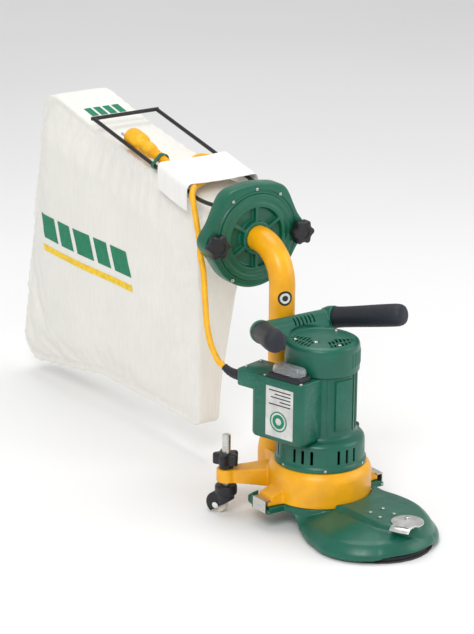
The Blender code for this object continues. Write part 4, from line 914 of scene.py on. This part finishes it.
def cord_route():
    path, heading = gland_path()
    start = path[-1] + heading * 0.0006
    rise = [start, start + heading * 0.006, start + heading * 0.015, (-0.1210, 0.3030, 0.2765),
            (-0.1150, 0.3240, 0.3060), (-0.1050, 0.3440, 0.3410), (-0.0925, 0.3675, 0.3770),
            (-0.0865, 0.3855, 0.3990), (-0.0820, 0.3945, 0.4190), (-0.0800, 0.4075, 0.4510),
            (-0.0775, 0.4200, 0.4780), (-0.0735, 0.4300, 0.4905), (-0.0640, 0.4400, 0.4975)]
    under_flap = [(-0.0500, 0.4560, 0.4950), (-0.0260, 0.4740, 0.4935), (0.0020, 0.4880, 0.4950),
                  (0.0260, 0.5010, 0.4985)]
    far_turn = [(0.0435, 0.5118, 0.5015), (0.0527, 0.5210, 0.5033), (0.0560, 0.5335, 0.5055),
                (0.0527, 0.5460, 0.5085), (0.0435, 0.5552, 0.5110), (0.0310, 0.5582, 0.5130)]
    back = [(0.0149, 0.5527, 0.5135), (0.0000, 0.5380, 0.5115), (-0.0139, 0.5245, 0.5090),
            (-0.0280, 0.5187, 0.5080), (-0.0421, 0.5238, 0.5100), (-0.0492, 0.5340, 0.5140),
            PLUG_START - PLUG_AXIS * 0.0035, PLUG_START - PLUG_AXIS * 0.0008]
    return rise + under_flap + far_turn + back


def make_cord():
    route = [p - HEAD for p in smooth_path(cord_route(), 6)]
    cable = tube("power_cable", route, CORD_R, CORD_SKIN, 20)
    cable.data.shade_smooth()
    cable.data.set_sharp_from_angle(angle=math.radians(50))
    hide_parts("power_cord")
    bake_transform(cable)

    path, _ = gland_path()
    fine = smooth_path(path, 5)
    radii = [(0.0088 if k < 5 else 0.0088 - 0.0028 * (k - 5) / (len(fine) - 6)) - (0.0006 if k % 4 == 3
                                                                                   and k > 5 else 0)
             for k in range(len(fine))]
    gland = loops_solid("cable_boot", swept_rings(fine, radii, 28), RUBBER)
    finish(gland, "frame", ["cable_gland"])

    boot = [(0, 0), (0.0060, 0)]
    for k in range(12):
        middle = 0.0022 + 0.0040 * k
        wide = 0.0072 + 0.00022 * k
        boot += [(wide, middle - 0.0013), (wide, middle + 0.0010), (wide - 0.0010, middle + 0.0016),
                 (wide - 0.0010, middle + 0.0024)]
    head = [(0.0100, 0.0500), (0.0120, 0.0520), (0.0130, 0.0580), (0.0132, 0.0640), (0.0126, 0.0700),
            (0.0110, 0.0740), (0.0108, 0.0780), (0.0122, 0.0805), (0.0155, 0.0830), (0.0168, 0.0860),
            (0.0175, 0.0920), (0.0175, 0.1150), (0.0170, 0.1190), (0.0158, 0.1215), (0.0140, 0.1220),
            (0, 0.1220)]
    plug = lathe("plug_moulding", boot + head, CORD_SKIN, PLUG_START, PLUG_AXIS, 48)
    finish(plug, "pipe_group", ["plug"])
    across = PLUG_AXIS.cross(Vector((0, 0, 1))).normalized()
    pins = []
    for s in (-1, 1):
        foot = PLUG_START + PLUG_AXIS * 0.1215 + across * (s * 0.0095)
        pins.append(lathe("pin", [(0, 0), (0.0024, 0), (0.0024, 0.0170), (0.0019, 0.0183), (0, 0.0187)],
                          None, foot, PLUG_AXIS, 20))
    finish(many("plug_pins", pins, CHROME), "pipe_group")


# ---------------------------------------------------------------- casters
def lobed(radius, depth, lobes, per_lobe, sharp=1.0):
    count = lobes * per_lobe
    points = []
    for k in range(count):
        a = 2 * math.pi * k / count
        wave = math.cos(lobes * a)
        reach = radius + depth * math.copysign(abs(wave) ** sharp, wave)
        points.append((reach * math.cos(a), reach * math.sin(a)))
    return points


def circle(radius, count):
    return [(radius * math.cos(2 * math.pi * k / count), radius * math.sin(2 * math.pi * k / count))
            for k in range(count)]


def make_caster(side, s):
    axis = Vector((s * CASTER_X, CASTER_Y, 0))
    body = "caster_%s_" + side
    spindle = lathe("stem_" + side, [(0, 0.0380), (0.0070, 0.0380), (0.0070, 0.1355), (0.0066, 0.1365),
                                     (0.0058, 0.1370), (0, 0.1370)], STEEL, axis, sides=SMALL)
    turn = around(axis, 25)
    cut(spindle, block("flat", (0.0058, -0.02, 0.1150), (0.02, 0.02, 0.1450), None, turn),
        block("flat", (-0.02, -0.02, 0.1150), (-0.0058, 0.02, 0.1450), None, turn))
    finish(spindle, body % "stem", ["caster_spindle_" + side])

    bore = circle(0.0073, 80)
    star = lobed(0.0188, 0.0034, 5, 16, 0.8)
    collar = circle(0.0115, 80)
    levels = [(bore, 0.0797), (collar, 0.0797), (collar, 0.0858), (inset(star, 0.0030), 0.0862),
              (inset(star, 0.0010), 0.0870), (star, 0.0888), (star, 0.1025),
              (inset(star, 0.0010), 0.1045), (inset(star, 0.0030), 0.1055), (bore, 0.1055)]
    rings = [[axis + Vector((x, y, z)) for x, y in points] for points, z in levels]
    finish(loops_solid("star_knob_" + side, rings, PLASTIC, ring=True), body % "knob",
           ["caster_knob_" + side])

    trail = Vector((0.42 * s, 0.9075, 0))
    across = Vector((0.9075, -0.42 * s, 0))
    centre = axis + trail * 0.013 + Vector((0, 0, 0.015))
    cup = [(0, 0.0335), (0.0160, 0.0335), (0.0178, 0.0350), (0.0184, 0.0380), (0.0184, 0.0465),
           (0.0178, 0.0490), (0.0164, 0.0500), (0, 0.0500)]
    hood = lathe("hood_" + side, cup, PLASTIC, axis, sides=MEDIUM)
    lift = Vector((0, 0, 0.003))
    fuse(hood, rod("fender", centre - across * 0.0105 + lift, centre + across * 0.0105 + lift, 0.0185))
    fuse(hood, rod("neck", axis + Vector((0, 0, 0.018)), axis + Vector((0, 0, 0.040)), 0.0140))
    slope = math.radians(33)
    rising = Vector((0, 0, math.sin(slope))) - trail * math.cos(slope)
    normal = across.cross(rising)
    below = Matrix((across, rising, normal)).transposed().to_4x4()
    below.translation = centre - Vector((0, 0, 0.0060))
    depth = 0.06 if normal.z < 0 else -0.06
    cut(hood, rod("slot", centre - across * 0.0068, centre + across * 0.0068, 0.0162))
    cut(hood, block("under", (-0.05, -0.06, min(0, depth)), (0.05, 0.06, max(0, depth)), None, below))
    cut(hood, rod("pivot", axis + Vector((0, 0, 0.0377)), axis + Vector((0, 0, 0.06)), 0.0073, sides=SMALL))
    cut(hood, rod("bolt", centre - across * 0.02, centre + across * 0.02, 0.0033, sides=SMALL))
    as_cast(hood, 0.0006, 4, 0.4)
    finish(hood, body % "fork", ["caster_hood_" + side], None)

    tyre = [(0.0033, -0.0058), (0.0060, -0.0058), (0.0066, -0.0050), (0.0108, -0.0050), (0.0114, -0.0058),
            (0.0134, -0.0057), (0.0146, -0.0047), (0.0150, -0.0030), (0.0150, 0.0030), (0.0146, 0.0047),
            (0.0134, 0.0057), (0.0114, 0.0058), (0.0108, 0.0050), (0.0066, 0.0050), (0.0060, 0.0058),
            (0.0033, 0.0058)]
    finish(lathe("wheel_" + side, tyre, WHITE, centre, across, MEDIUM), body % "wheel",
           ["caster_wheel_" + side])
    head = 0.0055
    shape = [(0, -0.0138), (head - 0.0012, -0.0138), (head - 0.0003, -0.0134), (head, -0.0127),
             (head, -0.0109), (0.0030, -0.0109), (0.0030, 0.0109), (head, 0.0109), (head, 0.0127),
             (head - 0.0003, 0.0134), (head - 0.0012, 0.0138), (0, 0.0138)]
    finish(lathe("axle_bolt_" + side, shape, CHROME, centre, across, SMALL), body % "fork",
           ["caster_axle_" + side])


# ---------------------------------------------------------------- pipe, flange and clamp
def make_pipe():
    straight = FLANGE_Z - 0.065
    path = [(0, PIPE_Y, 0.0703), (0, PIPE_Y, 0.150), (0, PIPE_Y, 0.25), (0, PIPE_Y, straight)]
    for k in range(1, 25):
        angle = math.radians(90 * k / 24)
        path.append((0, PIPE_Y + 0.065 * (1 - math.cos(angle)), straight + 0.065 * math.sin(angle)))
    path.append((0, 0.3620, FLANGE_Z))
    outside = swept_rings(path, [PIPE_R] * len(path), 72)
    inside = swept_rings(path, [PIPE_BORE] * len(path), 72)
    pipe = loops_solid("suction_tube", outside + inside[::-1], YELLOW, ring=True)
    finish(pipe, "pipe_group", ["suction_pipe"])
    # a round dark sticker with a plain white ring, facing the front left
    for name, radius, look, lift in (("sticker", 0.0125, DARK_INK, 0.00025),
                                     ("sticker_ring", 0.0088, WHITE_INK, 0.0004)):
        bm = bmesh.new()
        rows = []
        for ring in range(7):
            reach = radius * ring / 6 if name == "sticker" else radius * (0.55 + 0.45 * ring / 6)
            rows.append([bm.verts.new(on_pipe(reach * math.cos(a), reach * math.sin(a), lift)) for a in
                         (2 * math.pi * k / 48 for k in range(48))])
        skin(bm, rows, True)
        bmesh.ops.remove_doubles(bm, verts=bm.verts, dist=1e-6)
        finish(put(name, bm, look), "pipe_group", (), None)


def on_pipe(a, b, lift):
    """A point on the upright pipe, a round it and b up from the sticker's centre."""
    turn = math.radians(-112) + a / PIPE_R
    reach = PIPE_R + lift
    return (reach * math.cos(turn), PIPE_Y + reach * math.sin(turn), 0.347 + b)


def make_flange():
    profile = [(0.0218, 0.3440), (0.0268, 0.3440), (0.0278, 0.3446), (0.0282, 0.3456), (0.0285, 0.3560),
               (0.0490, 0.3560), (0.0500, 0.3545), (0.0510, 0.3490), (0.0517, 0.3478), (0.0525, 0.3475),
               (0.0580, 0.3475), (0.0590, 0.3484), (0.0640, 0.3484), (0.0650, 0.3475), (0.0722, 0.3475),
               (0.0732, 0.3480), (0.0735, 0.3490), (0.0735, 0.3660), (0.0218, 0.3660)]
    flange = lathe("flange_casting", profile, DEEP_GREEN, HUB, (0, 1, 0))
    for k in range(6):
        turn = around(HUB, 30 + 60 * k, "Y")
        fuse(flange, block("rib", (0.0262, 0.3478, -0.0026), (0.0520, 0.3580, 0.0026), None, turn))
        fuse(flange, rod("pad", turn @ Vector((0.0385, 0.3520, 0)), turn @ Vector((0.0385, 0.3570, 0)),
                         0.0001, sides=8))
    as_cast(flange, 0.0010, 3, 0.4)
    finish(flange, "pipe_group", ["pipe_flange"], None)


def clamp_radius(angle):
    turn = math.degrees(angle) % 360
    edge = 0.0855 + 0.0055 * max(0, math.sin(angle))
    bumps = ((0, 0.0150, 14), (180, 0.0150, 14), (360, 0.0150, 14), (55, 0.0075, 15), (125, 0.0075, 15))
    for centre, height, width in bumps:
        edge += height * math.exp(-(((turn - centre) / width) ** 2))
    return edge


def make_clamp_frame():
    count = 240

    def loop(radius, y):
        turns = [2 * math.pi * k / count for k in range(count)]
        return [HUB + Vector((radius(a) * math.cos(a), y, radius(a) * math.sin(a))) for a in turns]

    def offset(d):
        return lambda a: clamp_radius(a) - d

    levels = [loop(lambda a: 0.0742, 0.3500), loop(lambda a: 0.0770, 0.3500),
              loop(lambda a: 0.0780, 0.3512), loop(lambda a: 0.0800, 0.3512),
              loop(lambda a: 0.0808, 0.3500), loop(offset(0.0028), 0.3500), loop(offset(0.0009), 0.3508),
              loop(offset(0), 0.3530), loop(offset(0), 0.3750), loop(offset(0.0008), 0.3772),
              loop(offset(0.0024), 0.3780), loop(lambda a: 0.0660, 0.3780),
              loop(lambda a: 0.0660, 0.3697), loop(lambda a: 0.0742, 0.3697)]
    ring = loops_solid("clamp_casting", levels, DEEP_GREEN, ring=True)
    holes = [rod("hole", (s * KNOB_X, 0.34, KNOB_Z), (s * KNOB_X, 0.39, KNOB_Z), 0.0043, sides=SMALL)
             for _, s in SIDES]
    cut(ring, *holes)
    finish(ring, "pipe_group", ["clamp_frame"])
    bolts = []
    for angle in (55, 90, 125, 235, 305):
        spot = HUB + Vector((0.0815 * math.cos(math.radians(angle)), 0.3502,
                             0.0815 * math.sin(math.radians(angle))))
        bolts.append(screw_head(spot, (0, -1, 0), 0.0030, angle))
    finish(many("clamp_screws", bolts, STEEL), "pipe_group")


def make_clamp_knob(side, s):
    centre = Vector((s * KNOB_X, 0, KNOB_Z))
    star = lobed(0.0190, 0.0022, 6, 16, 0.8)
    steps = ((0.0052, 0.3302), (0.0028, 0.3303), (0.0010, 0.3309), (0.0, 0.3325), (0.0, 0.3445),
             (0.0010, 0.3460), (0.0028, 0.3470))
    rings = [[centre + Vector((x, y, z)) for x, z in inset(star, d)] for d, y in steps]
    knob = loops_solid("lobed_knob_" + side, rings, PLASTIC)
    cut(knob, rod("cup", centre + Vector((0, 0.3290, 0)), centre + Vector((0, 0.3312, 0)), 0.0095,
                  sides=SMALL))
    finish(knob, "clamp_knob_" + side, ["clamp_knob_" + side])
    stud = rod("knob_stud_" + side, centre + Vector((0, 0.3460, 0)), centre + Vector((0, 0.3786, 0)),
               0.0040, STEEL, SMALL)
    finish(stud, "clamp_knob_" + side)


# ---------------------------------------------------------------- bag
def rod_height(y):
    return 0.486 + (y - 0.440) * 0.2115


def make_rods():
    for side, s in SIDES:
        path = smooth_path([(s * 0.0665, 0.3790, 0.4840), (s * 0.0672, 0.4000, 0.4835),
                            (s * 0.0660, 0.4250, 0.4840), (s * ROD_X, 0.4450, rod_height(0.4450))], 6)
        path += [(s * ROD_X, y, rod_height(y)) for y in (0.500, 0.620, 0.7462)]
        finish(tube("wire_" + side, path, ROD_R, WIRE, 24), "pipe_group",
               ["bag_rod_" + side])
    rear = rod("wire_rear", (-0.0685, 0.7500, rod_height(0.7500)), (0.0685, 0.7500, rod_height(0.7500)),
               ROD_R, WIRE, SMALL)
    finish(rear, "pipe_group", ["bag_rod_rear"])


BAG = [(0.446, 0.476, 0.012), (0.452, 0.064, 0.022), (0.600, 0.070, 0.10), (0.760, 0.070, 0.10),
       (1.010, 0.030, 0.030), (1.050, 0.066, 0.035), (0.926, 0.573, 0.040), (0.750, 0.531, 0.10)]


def half_width(z):
    return 0.040 + 0.0200 * (z - 0.060) / 0.490


def sim_cloth(made, pins, pressure, frames, reach, slack):
    """Let the cloth settle, cap how far it may go, and keep the result as plain mesh."""
    before = points_of(made)
    group = made.vertex_groups.new(name="pins")
    for i, weight in enumerate(pins):
        group.add([i], float(weight), "REPLACE")
    step = made.modifiers.new("cloth", "CLOTH")
    cloth = step.settings
    cloth.quality = 6
    cloth.mass = 0.25
    cloth.tension_stiffness = 25
    cloth.compression_stiffness = 12
    cloth.shear_stiffness = 8
    cloth.bending_stiffness = 0.6
    cloth.use_pressure = True
    cloth.uniform_pressure_force = pressure
    cloth.vertex_group_mass = "pins"
    cloth.pin_stiffness = 1.5
    cloth.shrink_min = -slack
    cloth.effector_weights.gravity = 0.15
    step.collision_settings.use_collision = False
    step.point_cache.frame_start = 1
    step.point_cache.frame_end = frames
    for k in range(1, frames + 1):
        bpy.context.scene.frame_set(k)
    apply_modifiers(made)
    move = points_of(made) - before
    far = np.linalg.norm(move, axis=1, keepdims=True)
    move *= np.minimum(1, reach / np.maximum(far, 1e-9))
    move_points(made, before + move)
    bpy.context.scene.frame_set(1)
    made.vertex_groups.clear()


def seam_distance(points, outline):
    """Distance in the side view from each point to the bag's outline."""
    flat = points[:, 1:]
    best = np.full(len(flat), 9.0)
    for a, b in zip(outline, outline[1:] + outline[:1]):
        a = np.array(a)
        span = np.array(b) - a
        t = np.clip((flat - a) @ span / (span @ span), 0, 1)
        best = np.minimum(best, np.linalg.norm(flat - a - t[:, None] * span, axis=1))
    return best


def wrinkles(points):
    """Folds: broad ones all over, slack ones across the foot, and slanting ones under the neck."""
    made = np.zeros(len(points))
    for i, (x, y, z) in enumerate(points):
        side = 1.0 if x > 0 else -1.0
        foot = 1 - smoothstep(0.08, 0.27, z)
        rear = smoothstep(0.70, 0.98, y)
        slack = noise.noise(Vector((side * 3.1, y * 9 + z * 6, z * 26 - y * 5)))
        broad = noise.noise(Vector((side * 7.7, y * 5, z * 4.5)))
        slant = noise.noise(Vector((side * 1.3, (y + z) * 22, (y - z) * 3.5)))
        neck = (1 - smoothstep(0.46, 0.66, y)) * smoothstep(0.20, 0.45, z)
        at_foot = 0.0075 * slack * (0.22 + foot * 0.78) * (0.6 + 0.4 * rear)
        made[i] = 0.0060 * broad + at_foot + 0.0052 * slant * (0.14 + neck)
    return made


def hang_limp(points):
    """Let the empty front of the foot fall flat and to the left."""
    made = points.copy()
    for i, (x, y, z) in enumerate(points):
        limp = (1 - smoothstep(0.08, 0.42, z)) * (1 - smoothstep(0.46, 0.86, y))
        made[i, 0] = x * (1 - 0.46 * limp) - 0.0175 * limp
    return made


def welt(bag, outline):
    """Raise the sewn edges: a welt on each edge, a pressed line with puckers beside it."""
    points = points_of(bag)
    right = hang_limp(np.array([(half_width(z), y, z) for _, y, z in points]))[:, 0]
    left = -hang_limp(np.array([(-half_width(z), y, z) for _, y, z in points]))[:, 0]
    inward = np.where(points[:, 0] > 0, right - points[:, 0], left + points[:, 0])
    away = np.hypot(seam_distance(points, outline), inward)
    body = np.clip((points[:, 1] - 0.462) / 0.01, 0, 1)
    stitch = 1 + 0.5 * np.sin((points[:, 1] + points[:, 2] * 1.3) * 420)
    raised = 0.0020 * np.exp(-((away / 0.0062) ** 2))
    pressed = 0.0013 * stitch * np.exp(-(((away - 0.0125) / 0.004) ** 2))
    push = (raised - pressed) * body
    move_points(bag, points + normals_of(bag) * push[:, None])


def make_bag():
    outline = rounded(BAG, 6)
    start, end = 0.3785, 0.4560
    shrunk = inset(outline, 0.0015)
    sides = [[(s * (half_width(z) - 0.0025), y, z) for y, z in shrunk] for s in (-1, 1)]
    bag = loops_solid("cloth_bag", sides, COTTON)
    neck = lathe("neck", [(0, start), (0.0620, start), (0.0618, start + 0.006), (0.0580, 0.396),
                          (0.0530, 0.420), (0.0500, end), (0, end)], None, HUB, (0, 1, 0), MEDIUM)
    fuse(bag, neck)
    remesh = bag.modifiers.new("remesh", "REMESH")
    remesh.mode = "VOXEL"
    remesh.voxel_size = 0.0060
    apply_modifiers(bag)
    points = points_of(bag)
    away = seam_distance(points, shrunk)
    held = np.clip(1.15 - away / 0.016, 0, 1)
    held = np.maximum(held * 0.85, np.clip((0.462 - points[:, 1]) / 0.006, 0, 1))
    sim_cloth(bag, held, 3.0, 22, 0.016, 0.02)
    points = points_of(bag)
    away = seam_distance(points, shrunk)
    free = np.clip(away / 0.030, 0, 1) * np.clip((points[:, 1] - 0.456) / 0.02, 0, 1)
    pucker = np.array([noise.noise(Vector((p[0] * 30, p[1] * 70, p[2] * 70))) for p in points])
    ridge = np.exp(-((away - 0.016) / 0.012) ** 2) * np.clip((points[:, 1] - 0.456) / 0.02, 0, 1)
    push = wrinkles(points) * free + 0.0012 * pucker * ridge
    collar = np.clip((0.452 - points[:, 1]) / 0.02, 0, 1) * np.clip((points[:, 1] - 0.384) / 0.02, 0, 1)
    turn = np.arctan2(points[:, 2] - FLANGE_Z, points[:, 0])
    push = push + 0.0016 * np.cos(17 * turn + 2 * np.sin(3 * turn)) * collar
    move_points(bag, hang_limp(points + normals_of(bag) * push[:, None]))
    fine = bag.modifiers.new("fine", "SUBSURF")
    fine.levels = 1
    fine.render_levels = 1
    apply_modifiers(bag)
    welt(bag, outline)
    finish(bag, "pipe_group", ["dust_bag"], None)
    return bag


def make_flap():
    """A strip of cotton draped over both rods at the front of the bag's top."""
    across = [(-0.0722, -0.030), (-0.0724, -0.015), (-0.0724, 0.000), (-0.0718, 0.0080),
              (-0.0690, 0.0130), (-0.0640, 0.0155), (-0.0500, 0.0152), (-0.0250, 0.0142), (0.0, 0.0140)]
    across += [(-x, z) for x, z in reversed(across[:-1])]
    section = [(p.x, p.z) for p in smooth_path([(x, 0, z) for x, z in across], 5)]
    rows = [0.4480 + 0.0044 * k for k in range(21)]
    bm = bmesh.new()
    grid = []
    for y in rows:
        row = []
        for x, z in section:
            broad = 0.0009 * noise.noise(Vector((x * 30, y * 22, 0.5)))
            fine = 0.0005 * noise.noise(Vector((x * 90, y * 60, 2.5)))
            hang = max(0.0, -z) * 0.06 * noise.noise(Vector((y * 20, x * 4, 9.0)))
            height = rod_height(y) + z + broad + fine
            row.append(bm.verts.new((x + hang * math.copysign(1, x), y, height)))
        grid.append(row)
    skin(bm, grid, False)
    flap = put("cloth_flap", bm, COTTON_FLAP)
    thick = flap.modifiers.new("thick", "SOLIDIFY")
    thick.thickness = 0.0009
    thick.offset = -1
    apply_modifiers(flap)
    finish(flap, "pipe_group", ["bag_flap"], 60)


def print_patch(surface, start, reach, tall, slant=0.0, down=False):
    """A four-sided ink patch laid on the cloth, seen from the left or, with down, from above."""
    bm = bmesh.new()
    rows = []
    across, along = max(2, round(reach / 0.005)), max(2, round(tall / 0.005))
    look_along = Vector((0, 0, -1)) if down else Vector((1, 0, 0))
    for i in range(across + 1):
        row = []
        for k in range(along + 1):
            u = start[0] + reach * i / across + slant * tall * k / along
            v = start[1] + tall * k / along + (0 if down else (u - 0.640) * 0.02)
            eye = Vector((v, u, 0.9)) if down else Vector((-0.3, u, v))
            row.append(bm.verts.new(surface.ray_cast(eye, look_along)[0] - look_along * 0.0004))
        rows.append(row)
    skin(bm, rows, False)
    return put("patch", bm, None)


def make_prints(bag):
    """A row of plain slanted blocks over a stripe, printed on the bag's left side and on its top."""
    faces = [p.vertices for p in bag.data.polygons]
    surface = BVHTree.FromPolygons([v.co + HEAD for v in bag.data.vertices], faces)
    side_blocks = ((0.640, 0.050), (0.702, 0.040), (0.754, 0.052), (0.818, 0.040), (0.870, 0.050))
    blocks = [print_patch(surface, (y, 0.290), reach, 0.044, 0.30) for y, reach in side_blocks]
    for k in range(4):
        blocks.append(print_patch(surface, (0.800, -0.036 + 0.019 * k), 0.030, 0.014, down=True))
    finish(many("bag_print_blocks", blocks, INK_GREEN), "pipe_group", (), None)
    stripes = [print_patch(surface, (0.636, 0.264), 0.290, 0.012, 0.30),
               print_patch(surface, (0.788, -0.036), 0.006, 0.071, down=True)]
    finish(many("bag_print_stripes", stripes, INK_YELLOW), "pipe_group", (), None)


def make_tie(name, y, first, first_r, second, second_r):
    """A flat band drawn round a rod and the cord beside it."""
    def hull(lift):
        points = []
        for k in range(64):
            out = Vector((math.cos(2 * math.pi * k / 64), 0, math.sin(2 * math.pi * k / 64)))
            reach = [first + out * (first_r + lift), second + out * (second_r + lift)]
            points.append(max(reach, key=lambda p: p.dot(out)))
        return points

    levels = [(hull(0.0004), -0.0042), (hull(0.0018), -0.0038), (hull(0.0018), 0.0038),
              (hull(0.0004), 0.0042)]
    rings = [[p + Vector((0, y + lift, 0)) for p in points] for points, lift in levels]
    tie = loops_solid(name, rings, GREEN, ring=True)
    finish(tie, "pipe_group")


# ---------------------------------------------------------------- build
make_cord()
make_base()
make_arm()
make_turn_plate()
make_housing()
make_cap()
make_grips()
make_switch_box()
make_switch()
for side_name, side_sign in SIDES:
    make_caster(side_name, side_sign)
    make_clamp_knob(side_name, side_sign)
make_pipe()
make_flange()
make_clamp_frame()
make_rods()
cloth_bag = make_bag()
make_prints(cloth_bag)
make_flap()
make_tie("cord_tie_far", 0.5335, Vector((ROD_X, 0, 0.5058)), ROD_R, Vector((0.0560, 0, 0.5055)), 0.0054)
make_tie("cord_tie_near", 0.5560, Vector((-ROD_X, 0, 0.5105)), ROD_R, Vector((-0.0492, 0, 0.5191)), 0.0090)
for made in frame["nodes"].values():
    made.data.shade_smooth()
    made.data.set_sharp_from_angle(angle=math.radians(32))


# ---------------------------------------------------------------- stage, light and camera
def make_stage():
    bm = bmesh.new()
    bmesh.ops.create_grid(bm, x_segments=1, y_segments=1, size=12)
    n = Nodes("pale floor")
    coloured = n.mix(n.ramp(n.noise(0.8, 2), 0, 1), (0.90, 0.90, 0.90), (0.93, 0.93, 0.93))
    floor = put("floor", bm, n.finish(coloured, 0.9, Specular_IOR_Level=0.1))
    floor.location.z = -0.0002
    world = bpy.data.worlds.new("studio")
    bpy.context.scene.world = world
    world.use_nodes = True
    world.node_tree.nodes["Background"].inputs["Color"].default_value = (1.0, 1.0, 1.0, 1)
    world.node_tree.nodes["Background"].inputs["Strength"].default_value = 0.62


def make_light(name, at, aim, size, power):
    light = bpy.data.lights.new(name, "AREA")
    light.shape = "DISK"
    light.size = size
    light.energy = power
    made = bpy.data.objects.new(name, light)
    made.location = at
    made.rotation_euler = (Vector(aim) - Vector(at)).to_track_quat("-Z", "Y").to_euler()
    bpy.context.scene.collection.objects.link(made)


def make_camera():
    turn, lift, roll = math.radians(-35.01), math.radians(18.04), math.radians(0.684)
    back = Vector((math.sin(turn) * math.cos(lift), -math.cos(turn) * math.cos(lift), math.sin(lift)))
    across = (-back).cross(Vector((0, 0, 1))).normalized()
    up = across.cross(-back)
    right = across * math.cos(roll) + up * math.sin(roll)
    upward = up * math.cos(roll) - across * math.sin(roll)
    data = bpy.data.cameras.new("camera")
    data.lens = 151.78
    data.sensor_width = 36
    data.clip_end = 60
    made = bpy.data.objects.new("camera", data)
    place = Matrix((right, upward, back)).transposed().to_4x4()
    place.translation = Vector((0.0176, 0.4220, 0.2592)) + back * 4.529
    made.matrix_world = place
    bpy.context.scene.collection.objects.link(made)
    bpy.context.scene.camera = made


make_stage()
make_light("key", (-2.4, -2.0, 3.0), (0, 0.35, 0.25), 1.8, 70)
make_light("fill", (2.6, -1.6, 1.6), (0, 0.35, 0.25), 2.2, 24)
make_light("top", (0.3, 0.8, 3.2), (0, 0.45, 0.25), 2.0, 30)
make_camera()
bpy.context.scene.view_settings.view_transform = "Standard"
